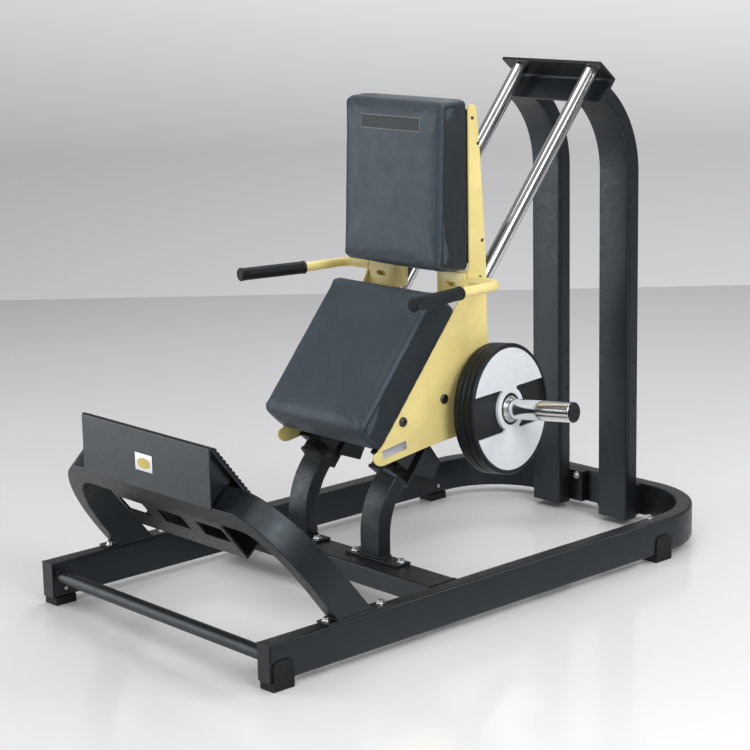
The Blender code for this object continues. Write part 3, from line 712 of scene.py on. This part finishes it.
def side_plates():
    shape, lean = fillet(OUTLINE, [0.03] * len(OUTLINE), 4), 0.155
    for side, s in SIDES:
        me = prism([place(s * (SIDE_X - PLATE_T), y, z) for y, z in shape], X * s * PLATE_T)
        stand_in("side_plate_" + side, me, YELLOW, "carriage", angle=50, bevel=0.0009)
        along = Vector((0, math.cos(lean), math.sin(lean)))
        across = X.cross(along)
        tag = block_mesh(place(s * (SIDE_X + 0.0004), 0.6065, 0.3765), X, along, across,
                         (0.0008, 0.078, 0.021), 0.0003, 2)
        piece("side_label_" + side, tag, SILVER, "carriage")
    big = [(place(s * SIDE_X, y, z), X * s) for _, s in SIDES
           for y, z in ((0.772, 0.472), (0.635, 0.4395))]
    fasteners("carriage_screws", DARK_STEEL, big, cap_screw, "carriage", r=0.012,
              head=0.006, key=0.0055)
    small = [(place(s * SIDE_X, y, z), X * s) for _, s in SIDES
             for y, z in ((0.877, 1.14), (0.896, 1.078), (0.907, 0.843), (0.899, 0.754))]
    fasteners("back_screws", DARK_STEEL, small, cap_screw, "carriage", r=0.0042,
              head=0.0026, key=0.0019)


def carriage_frame():
    xw = SIDE_X - PLATE_T - GAP
    for side, s in SIDES:
        for end, u0 in (("lower", 0.66), ("upper", 0.972)):
            name = "bearing_%s_%s" % (end, side)
            refine(name, CHARCOAL, 0.0016, body="carriage")
            bm = bmesh.new()
            for u, k in ((u0, -1), (u0 + 0.08, 1)):
                rows = [(ROD_R + 0.0002, 0), (0.0275, 0), (0.0275, 0.002), (0.0262, 0.003),
                        (0.0225, 0.003), (ROD_R + 0.0002, 0.0012)]
                turn(bm, incl(s * ROD_X, u, 0), U * k, rows, 64, True)
            piece(name + "_seals", to_mesh(bm), RUBBER, "carriage", angle=30)
        frame_block(side, s, xw)
    refine("seat_board", BOARD, 0.0012, body="carriage")
    refine("back_board", BOARD, 0.0012, body="carriage")
    heads = [(incl(x, u, -0.072), V) for x in (-0.105, 0.105) for u in (0.755, 0.95)]
    heads += [(place(x, 0.8775, z), Y) for x in (-0.1, 0.1) for z in (0.86, 1.08)]
    fasteners("board_screws", ZINC, heads, cap_screw, "carriage", r=0.0065, head=0.004,
              key=0.0028)
    y, z = HORN_Y, HORN_Z
    rows = [(0, 0), (0.034, 0), (0.034, 2 * xw), (0, 2 * xw)]
    stand_in("horn_tube", turned(place(-xw, y, z), X, rows, 96), CHARCOAL, "carriage")
    loops = [ring_loop(place(s * (xw - 0.002), y, z), X, 0.0352) for _, s in SIDES]
    weld("horn_tube_welds", loops, "carriage")


def frame_block(side, s, xw):
    """Yellow spacer block with a slot in its front face."""
    cx, cy, cz = s * (xw - 0.0479), 0.8745, 0.736
    w, d, h = 0.0955, 0.0468, 0.0638
    rings = []
    for dw, dh, r, dy in ((-0.005, -0.005, 0.003, d), (-0.0015, -0.0015, 0.004, d - 0.0007),
                          (0, 0, 0.0045, d - 0.0025), (0, 0, 0.0045, 0.0025),
                          (-0.0015, -0.0015, 0.004, 0.0007), (-0.005, -0.005, 0.003, 0),
                          (0.034 - w, 0.0125 - h, 0.006, 0),
                          (0.0325 - w, 0.011 - h, 0.0054, 0.0008),
                          (0.0325 - w, 0.011 - h, 0.0054, 0.014)):
        rings.append([place(cx + a, cy - d / 2 + dy, cz + b) for a, b in rect(w + dw, h + dh, r)])
    stand_in("frame_block_" + side, loft(rings), YELLOW, "carriage", angle=30)


def bend_path(points, r, k=16):
    """Polyline with its corners bent to one radius."""
    out = [points[0]]
    for a, b, c in zip(points[:-2], points[1:-1], points[2:]):
        p, q = (a - b).normalized(), (c - b).normalized()
        half = math.acos(max(-1, min(1, p.dot(q)))) / 2
        cut = r / math.tan(half)
        centre = b + (p + q).normalized() * (r / math.sin(half))
        s, e = b + p * cut - centre, b + q * cut - centre
        out += [centre + s.slerp(e, i / k).normalized() * r for i in range(k + 1)]
    return out + [points[-1]]


def handles():
    z = 0.749
    for side, s in SIDES:
        pts = [place(s * (SIDE_X + GAP), 0.868, z), place(s * (SIDE_X + 0.095), 0.868, z),
               place(s * (SIDE_X + 0.1), 0.742, z),
               place(s * (SIDE_X + 0.1345), 0.5485, z + 0.001)]
        me = sweep(bend_path(pts, 0.03), Z, circle(0.012, 48))
        stand_in("handle_" + side, me, YELLOW, "carriage")
        weld("handle_weld_" + side, [ring_loop(place(s * (SIDE_X + 0.0022), 0.868, z), X, 0.0128)],
             "carriage", YELLOW, 0.0022)
        axis = (pts[3] - pts[2]).normalized()
        start, length = pts[2] + axis * 0.012, (pts[3] - pts[2]).length - 0.011
        r0, r1 = 0.012 + GAP, 0.0158
        rows = [(0, 0), (r0, 0), (r1 - 0.002, 0), (r1 + 0.0008, 0.0015), (r1 + 0.001, 0.005),
                (r1, 0.0072)]
        for i in range(int((length - 0.02) / 0.0052)):
            t = 0.0085 + i * 0.0052
            rows += [(r1, t), (r1 - 0.0005, t + 0.0008), (r1 - 0.0005, t + 0.0018),
                     (r1, t + 0.0026)]
        rows += [(r, length + t) for r, t in (
            (r1, -0.008), (r1 + 0.001, -0.0058), (r1 + 0.001, -0.0012), (r1 - 0.0006, 0.0012),
            (r1 - 0.0034, 0.0022), (0.0095, 0.0024), (0.0088, 0.0017), (0.003, 0.0017),
            (0, 0.0018))]
        stand_in("grip_" + side, turned(start, axis, rows, 64), FOAM, "carriage", angle=32)


# ---- weight horns and plates ----
def horn_axis(s):
    """Direction of a weight horn, out and slightly up and back."""
    return Vector((s * math.cos(YAW) * math.cos(UP), math.sin(YAW) * math.cos(UP), math.sin(UP)))


def plate_body(name, c, d, body, node, face):
    """Rubber-clad disc: rounded rim, recessed web with an inner step, and a steel hub sleeve."""
    r, t, bore = DISC_R, DISC_T, HORN_R + 0.0006
    web = -0.0085 if face else -0.006
    rows = [(bore + 0.0075, -t), (r - 0.016, -t), (r - 0.013, -t + 0.0016),
            (r - 0.01, -t + 0.0004), (r - 0.005, -t)]
    rows += arc_rows(r - 0.005, -t, r, -t + 0.005, 6)
    rows += [(r, -t + 0.005), (r, -0.0165), (r - 0.001, -0.0155), (r - 0.001, -0.014),
             (r, -0.013), (r, -0.006)]
    rows += arc_rows(r, -0.006, r - 0.006, 0.0, 6, -1)
    rows += [(r - 0.006, 0.0), (r - 0.0088, -0.0002), (r - 0.01, -0.0014),
             (r - 0.0105, web + 0.002), (r - 0.0125, web), (0.04, web), (0.0385, web + 0.0015),
             (0.038, -0.0012), (0.0366, 0.0), (bore + 0.0075, 0.0)]
    stand_in(node, turned(c, d, rows, 128, True), PLATE_RUBBER, body, angle=28)
    sleeve = [(bore, -t), (bore + 0.0074, -t), (bore + 0.0074, -0.0006), (bore + 0.0066, 0.0002),
              (bore + 0.0008, 0.0002), (bore, -0.0008)]
    piece(name + "_sleeve", turned(c, d, sleeve, 96, True), ZINC, body, angle=25)


def hourglass(c, d, name, body, node):
    """White hourglass: an upper and a lower field joined by a ring round the hub."""
    f = basis(d)[2]
    up = f if f.z > 0 else -f
    across = d.cross(up).normalized()
    r_out, cut, r_hub, neck, fr = DISC_R - 0.011, 0.052, 0.054, 0.029, 0.007
    a0 = math.asin(cut / r_out)
    half = arc(r_out, a0, math.pi - a0, 40)
    cy = cut - fr
    left = [(-neck - fr - (r_out * math.cos(a0) - neck - fr) * (1 - i / 8), cut)
            for i in range(1, 8)]
    left += [(-neck - fr + fr * math.sin(t), cy + fr * math.cos(t))
             for t in [math.pi / 2 * i / 8 for i in range(9)]]
    th = math.pi - math.asin((cy - 0.002) / r_hub)
    left += arc(r_hub, th, math.tau - th, 24)
    left += [(x, -y) for x, y in reversed(left[:-25])]
    outline = half + left
    outline += [(-x, -y) for x, y in outline]
    hole = circle(0.0392, 72)
    bm = bmesh.new()

    def ring(pts, h, inset):
        out, m = [], len(pts)
        for i, (x, y) in enumerate(pts):
            t = (Vector(pts[(i + 1) % m]) - Vector(pts[i - 1])).normalized()
            out.append(bm.verts.new(c + d * h + across * (x - t.y * inset)
                                    + up * (y + t.x * inset)))
        return out

    steps = ((-0.0084, 0.0), (-0.0012, 0.0), (-0.0008, 0.0004), (-0.0006, 0.0012))
    sides = [[ring(outline, h, i) for h, i in steps], [ring(hole, h, -i) for h, i in steps]]
    for rows in sides:
        bridge(bm, rows)
    for k in (0, -1):
        edges = []
        for rows in sides:
            r = rows[k]
            for i in range(len(r)):
                pair = (r[i], r[(i + 1) % len(r)])
                edges.append(bm.edges.get(pair) or bm.edges.new(pair))
        bmesh.ops.triangle_fill(bm, use_beauty=True, edges=edges)
    stand_in(node, to_mesh(bm), WHITE, body, angle=35)


def horns():
    for side, s in SIDES:
        d = horn_axis(s)
        c = place(s * SIDE_X, HORN_Y, HORN_Z) + d * (2 * DISC_T + 0.0162)
        t0 = -(2 * DISC_T + 0.007)
        r, free = HORN_R, 0.18
        rows = [(0, t0 - 0.004), (r, t0 - 0.004), (r, t0), (0.041, t0), (0.042, t0 + 0.001),
                (0.042, t0 + 0.0045), (0.041, t0 + 0.0055), (r, t0 + 0.0055), (r, free - 0.0005),
                (r - 0.0005, free), (0, free)]
        stand_in("horn_" + side, turned(c, d, rows, 128), CHROME_HORN, "carriage", angle=30)
        q = HORN_R - GAP
        rows = [(0, free + GAP), (q, free + GAP), (q, free + 0.0022)]
        rows += [(q - 0.0042 * (1 - math.cos(b)), free + 0.0022 + 0.0036 * math.sin(b))
                 for b in [math.pi / 2 * i / 6 for i in range(1, 7)]]
        rows += [(0.015, free + 0.0058), (0.0142, free + 0.0048), (0.006, free + 0.0046),
                 (0.0052, free + 0.0056), (0, free + 0.0058)]
        stand_in("horn_cap_" + side, turned(c, d, rows, 96), PLASTIC, "carriage", angle=40)
        plate_body("outer_disc_" + side, c, d, "outer_plate_" + side, "plate_outer_" + side, True)
        plate_body("inner_disc_" + side, c - d * (DISC_T + 0.0006), d, "inner_plate_" + side,
                   "plate_inner_" + side, False)
        hourglass(c, d, "hourglass_" + side, "outer_plate_" + side, "plate_face_" + side)


# ---- pads ----
def pad_blank(loc, half, r, side_r, corner, crown, deep):
    """Pad before stuffing: rounded front edges, tight side edges, flat back; front at -y."""
    hx, hy, hz = half
    xs = [(-hx + side_r * (1 - math.cos(a)), side_r * (1 - math.sin(a)))
          for a in [math.pi / 2 * i / 6 for i in range(7)]]
    n = 18
    xs += [(-hx + side_r + (2 * hx - 2 * side_r) * i / n, 0.0) for i in range(1, n)]
    xs += [(-x, i) for x, i in reversed(xs[:7])]
    rings = []
    for x, inset in xs:
        q, flat, line = r - inset, -hy + r, []
        for s in (-1, 1):
            arc = [(flat - q * math.cos(a), s * (hz - r + q * math.sin(a)))
                   for a in [math.pi / 2 * i / 8 for i in range(9)]]
            front = [(-hy + inset, (hz - r) * (i / 6 - 1)) for i in range(1, 12)]
            line += arc[::-1] if s < 0 else front + arc
        top = hz - inset
        line += [(flat + (hy - flat) * i / 4, top) for i in range(1, 5)]
        line += [(hy, top * (1 - i / 4)) for i in range(1, 9)]
        line += [(hy + (flat - hy) * i / 4, -top) for i in range(1, 4)]
        ring = []
        for y, z in line:
            px, pz = x, z
            cx, cz = abs(x) - (hx - corner), abs(z) - (hz - corner)
            if cx > 0 and cz > 0:
                k = max(cx, cz) / math.hypot(cx, cz)
                px = math.copysign(hx - corner + cx * k, x)
                pz = math.copysign(hz - corner + cz * k, z)
            if y > flat:
                y = flat + (y - flat) * (deep(pz) - flat) / (hy - flat)
            else:
                y -= crown * (1 - (px / hx) ** 4) * (1 - (pz / hz) ** 4) * (flat - y) / r
            ring.append(loc.world(Vector((px, y, pz))))
        rings.append(ring)
    bm = bmesh.new()
    skin(bm, rings)
    return to_mesh(bm)


def remesh(ob, voxel):
    """Even mesh for the cloth simulation."""
    m = ob.modifiers.new("Remesh", "REMESH")
    m.mode, m.voxel_size = "VOXEL", voxel
    bake(ob)


def bake(ob):
    """Apply the object's modifiers to its mesh."""
    dg = bpy.context.evaluated_depsgraph_get()
    dg.update()
    me = bpy.data.meshes.new_from_object(ob.evaluated_get(dg))
    old = ob.data
    ob.modifiers.clear()
    ob.data = me
    bpy.data.meshes.remove(old)


def puff(ob, held, cap, pressure=4.0, frames=20):
    """Inflate the cover by cloth simulation; held(p) says how firmly a point stays on its board."""
    before = [v.co.copy() for v in ob.data.vertices]
    group = ob.vertex_groups.new(name="held")
    for i, p in enumerate(before):
        group.add([i], held(p), "REPLACE")
    m = ob.modifiers.new("Cloth", "CLOTH")
    st = m.settings
    st.use_pressure = True
    st.uniform_pressure_force = pressure
    st.effector_weights.gravity = 0.0
    st.vertex_group_mass = "held"
    st.tension_stiffness = st.compression_stiffness = 30.0
    st.bending_stiffness = 4.0
    m.point_cache.frame_start, m.point_cache.frame_end = 1, frames
    for f in range(1, frames + 1):
        scene.frame_set(f)
    dg = bpy.context.evaluated_depsgraph_get()
    after = [v.co.copy() for v in ob.evaluated_get(dg).data.vertices]
    ob.modifiers.remove(m)
    scene.frame_set(1)
    for v, p, q in zip(ob.data.vertices, before, after):
        d = q - p
        if d.length > cap:
            d *= cap / d.length
        v.co = p + d * 0.6 * (1 - held(p))
    ob.data.update()


def smooth_once(ob):
    """One subdivision, applied."""
    m = ob.modifiers.new("Subdivision", "SUBSURF")
    m.levels = m.render_levels = 1
    bake(ob)


def profile_loop(half, r, x, step):
    """Closed line round a pad's profile at one place across it."""
    return resample([Vector((x, y, z)) for y, z in rect(2 * half[1], 2 * half[2], r, 8)], step)


def crease(ob, to_local, half, inset, depth, width):
    """Press the side seams in: a fine valley where the side panels meet the main panel."""
    for v in ob.data.vertices:
        p = to_local(v.co)
        if p.y > half[1] * 0.8:
            continue
        dx = abs(abs(p.x) - (half[0] - inset)) / width
        if dx < 3.0:
            edge = max(abs(p.y) / half[1], abs(p.z) / half[2])
            k = math.exp(-dx * dx) * max(0.0, min(1.0, (edge - 0.8) / 0.12))
            inward = Vector((0, -p.y / half[1] * 0.5, -p.z / half[2]))
            if inward.length > 1e-6:
                v.co = v.co + (to_local.back(inward.normalized())) * depth * k
    ob.data.update()


class Local:
    """A pad's own frame: x across, y depth (back is +y), z up its length."""

    def __init__(self, centre, ex, ey, ez):
        self.c, self.e = centre, (ex, ey, ez)

    def __call__(self, p):
        q = p - self.c
        return Vector([q.dot(a) for a in self.e])

    def back(self, v):
        return self.e[0] * v.x + self.e[1] * v.y + self.e[2] * v.z

    def world(self, p):
        return self.c + self.back(p)


def stitches(name, tree, loc, path, pitch=0.0062, length=0.0042, r=0.00055):
    """Short thread stitches laid on the pad's surface along a closed path of local points."""
    bm = bmesh.new()
    pts = resample(path, pitch)
    n = len(pts)
    for i, p in enumerate(pts):
        t = (pts[(i + 1) % n] - pts[i - 1]).normalized()
        out = Vector((0, p.y / max(abs(p.y), 1e-6) if abs(t.y) < 0.5 else 0,
                      p.z / max(abs(p.z), 1e-6) if abs(t.z) < 0.5 else 0))
        if out.length < 1e-6:
            out = Vector((0, p.y, p.z))
        out = out.normalized()
        if out.y > 0.5:
            continue
        hit, nor, _, _ = tree.ray_cast(loc.world(p + out * 0.05), -loc.back(out), 0.1)
        if hit is None:
            continue
        tw = loc.back(t)
        tw = (tw - nor * tw.dot(nor)).normalized()
        rise = [(-0.5, -0.2), (-0.32, 0.6), (0, 0.95), (0.32, 0.6), (0.5, -0.2)]
        line = [hit + tw * (length * a) + nor * (r * b) for a, b in rise]
        tube(bm, line, r, 6)
    piece(name, to_mesh(bm), THREAD, "carriage", angle=60)


def pad(name, node, loc, half, r, crown, deep=None):
    """One upholstered pad: inflated cover, side-panel seams and stitching."""
    seam, side_r = 0.003, 0.0075
    h = Vector(half) - Vector((0.002, 0.0025, 0.0025))
    deep = deep or (lambda z: half[1])
    ob = piece(name, pad_blank(loc, h, r, side_r, 0.018, crown, deep), VINYL, "carriage", (node,),
               angle=180)
    remesh(ob, 0.005)

    def held(p):
        q = loc(p)
        return max(0.0, min(1.0, ((q.y + h[1]) / (deep(q.z) + h[1]) - 0.45) / 0.35))

    puff(ob, held, 0.006)
    smooth_once(ob)
    crease(ob, loc, h, seam, 0.002, 0.002)
    for v in ob.data.vertices:
        q = loc(v.co)
        k = noise.noise(q * 18.0) * 0.0007 + noise.noise(q * 60.0) * 0.0002
        v.co += loc.back(Vector((0, -1, 0))) * k * (1 - held(v.co))
        q = loc(v.co)
        lim = Vector((half[0] + 0.0005, half[1] + 0.008, half[2] + 0.006))
        q = Vector([max(-lim[i], min(lim[i], q[i])) for i in range(3)])
        q.y = min(loc(v.co).y, deep(q.z))
        v.co = loc.world(q)
    # Painted shade: the side panels take the darker copy of the upholstery, standing for the shade
    # on the pads' sides.
    ob.data.materials.append(VINYL_SIDE_PAINTED_SHADE)
    for p in ob.data.polygons:
        q = loc(p.center)
        p.material_index = int(abs(q.x) > h[0] - seam - 0.0015)
    ob.data.update()
    ob.data.shade_smooth()
    tree = BVHTree.FromPolygons([v.co.copy() for v in ob.data.vertices],
                                [tuple(p.vertices) for p in ob.data.polygons])
    for side, s in SIDES:
        stitches("%s_stitches_%s" % (name, side), tree, loc,
                 profile_loop(h, r, s * (h[0] - side_r - 0.0075), 0.004))
    return tree


def patch(name, tree, loc, cz, w, h, r, lift, thick, mat):
    """Thin plate that follows the pad's front: a rounded rectangle laid on it."""
    outline = rect(w, h, r, 4)
    bm = bmesh.new()
    rings = [[(x * k, z * k) for x, z in outline] for k in (1.0, 0.75, 0.5, 0.25)]

    def at(x, z, up):
        inward = loc.back(Y)
        hit = tree.ray_cast(loc.world(Vector((x, -0.2, cz + z))), inward, 0.4)[0]
        return (hit or loc.world(Vector((x, -0.05, cz + z)))) - inward * up

    def row(ring, up):
        return [bm.verts.new(at(x, z, up)) for x, z in ring]

    top = [row(rings[0], lift)] + [row(ring, lift + thick) for ring in rings]
    bottom = top[:1] + [row(ring, lift) for ring in rings[1:]]
    bridge(bm, top)
    bridge(bm, bottom[::-1])
    bm.faces.new(top[-1])
    bm.faces.new(list(reversed(bottom[-1])))
    piece(name, to_mesh(bm), mat, "carriage", angle=30)


def pads():
    seat_x, u0, u1, t = SIDE_X + 0.008, 0.648, 1.052, 0.086
    centre = incl(0, (u0 + u1) / 2, -0.085 - t / 2)
    loc = Local(centre, X, V, U)
    pad("seat_cushion", "seat_pad", loc, (seat_x, t / 2, (u1 - u0) / 2), 0.018, 0.004)
    back_x, z0, z1, bt = SIDE_X - 0.001, 0.772, 1.189, 0.08
    tilt = math.radians(2.5)
    up = Vector((0, math.sin(tilt), math.cos(tilt)))
    out = Vector((0, math.cos(tilt), -math.sin(tilt)))
    loc = Local(place(0, 0.8635 - bt / 2 - 0.01, (z0 + z1) / 2), X, out, up)
    tree = pad("back_cushion", "back_pad", loc, (back_x, bt / 2, (z1 - z0) / 2), 0.018, 0.004,
                   lambda q: (0.0512 - q * math.sin(tilt)) / math.cos(tilt))
    z = 1.125 - (z0 + z1) / 2
    patch("back_badge_border", tree, loc, z, 0.208, 0.034, 0.003, 0.0004, 0.0012, BORDER)
    patch("back_badge_field", tree, loc, z, 0.2045, 0.0305, 0.002, 0.0012, 0.0008, PLASTIC)


# ---- stage, light and camera ----
FLOOR_END, FLOOR_HALF = 8.94, 14.0


def studio():
    """Pale floor that ends ahead of the camera, and a grey world that stands for the wall."""
    me = bpy.data.meshes.new("floor")
    ahead = Vector((-math.sin(CAMERA_AZ), math.cos(CAMERA_AZ), 0))
    right = Vector((math.cos(CAMERA_AZ), math.sin(CAMERA_AZ), 0))
    below = Vector((CAMERA_AT.x, CAMERA_AT.y, 0))
    wide = right * FLOOR_HALF
    far, near = below + ahead * FLOOR_END, below - ahead * FLOOR_HALF
    quad = [near - wide, near + wide, far + wide, far - wide]
    me.from_pydata(quad, [], [(0, 1, 2, 3)])
    floor = bpy.data.objects.new("floor", me)
    scene.collection.objects.link(floor)
    me.materials.append(stage_floor("studio_floor"))
    world = bpy.data.worlds.new("studio")
    scene.world = world
    world.use_nodes = True
    t = world.node_tree
    bg = t.nodes["Background"]
    co = t.nodes.new("ShaderNodeTexCoord")

    def gradient(axis, stops):
        """Grey tone by how far the view points along one axis."""
        dot, half = t.nodes.new("ShaderNodeVectorMath"), t.nodes.new("ShaderNodeMath")
        dot.operation, half.operation = "DOT_PRODUCT", "MULTIPLY_ADD"
        dot.inputs[1].default_value = axis
        half.inputs[1].default_value = half.inputs[2].default_value = 0.5
        ramp = t.nodes.new("ShaderNodeValToRGB")
        while len(ramp.color_ramp.elements) < len(stops):
            ramp.color_ramp.elements.new(0.5)
        for e, (p, v) in zip(ramp.color_ramp.elements, stops):
            e.position, e.color = p, (v, v, v * 1.01, 1.0)
        t.links.new(co.outputs["Generated"], dot.inputs[0])
        t.links.new(dot.outputs["Value"], half.inputs[0])
        t.links.new(half.outputs[0], ramp.inputs["Fac"])
        return ramp.outputs["Color"]

    both = t.nodes.new("ShaderNodeMixRGB")
    both.blend_type = "MULTIPLY"
    both.inputs["Fac"].default_value = 1.0
    t.links.new(gradient(Z, ((0.0, 0.55), (0.405, 0.8), (0.445, 0.62), (0.482, 0.96), (0.52, 0.72),
                             (0.62, 0.46), (1.0, 0.4))), both.inputs["Color1"])
    t.links.new(gradient(right, ((0.0, 0.55), (0.4, 0.78), (0.5, 0.92), (0.6, 1.0), (0.75, 0.42),
                                 (1.0, 0.25))), both.inputs["Color2"])
    t.links.new(both.outputs["Color"], bg.inputs["Color"])
    bg.inputs["Strength"].default_value = 0.85


def lamp(name, spot, aim, size, power, size_y=None):
    """Soft rectangular light, metres and watts."""
    li = bpy.data.lights.new(name, "AREA")
    li.shape, li.size, li.size_y, li.energy = "RECTANGLE", size, size_y or size, power
    ob = bpy.data.objects.new(name, li)
    ob.location = spot
    ob.rotation_euler = (Vector(aim) - Vector(spot)).to_track_quat("-Z", "Y").to_euler()
    ob.visible_camera = False
    scene.collection.objects.link(ob)


def lights():
    lamp("sheen", (-2.7, -2.7, 1.05), (0, 0, 0.55), 2.6, 56, 2.0)
    lamp("key", (1.9, -3.0, 3.5), (0, 0, 0.3), 2.2, 48)
    lamp("side", (3.5, -0.8, 2.7), (0, 0, 0.5), 2.0, 85)
    lamp("overhead", (-0.3, 0.3, 3.7), (0, 0.0, 0.3), 2.6, 44)
    lamp("rear", (-1.7, 2.6, 3.9), (0, 0, 0.6), 1.8, 40)
    lamp("floor_glow", (2.7, 2.7, 2.3), (1.7, 1.9, 0.0), 1.8, 50)


def camera():
    az, pitch, roll = CAMERA_AZ, math.radians(12.52), math.radians(-1.17)
    level = math.cos(pitch)
    fwd = Vector((-math.sin(az) * level, math.cos(az) * level, -math.sin(pitch)))
    right = Vector((math.cos(az), math.sin(az), 0))
    up = right.cross(fwd)
    r = right * math.cos(roll) + up * math.sin(roll)
    u = -right * math.sin(roll) + up * math.cos(roll)
    cam = bpy.data.objects.new("camera", bpy.data.cameras.new("camera"))
    cam.data.sensor_width, cam.data.lens = 36.0, 99.5
    cam.data.clip_end = 60.0
    m = Matrix((r, u, -fwd)).transposed().to_4x4()
    m.translation = CAMERA_AT
    cam.matrix_world = m
    scene.collection.objects.link(cam)
    scene.camera = cam
    scene.view_settings.view_transform = "Standard"


base()
tower()
platform()
side_plates()
carriage_frame()
handles()
horns()
pads()
studio()
lights()
camera()
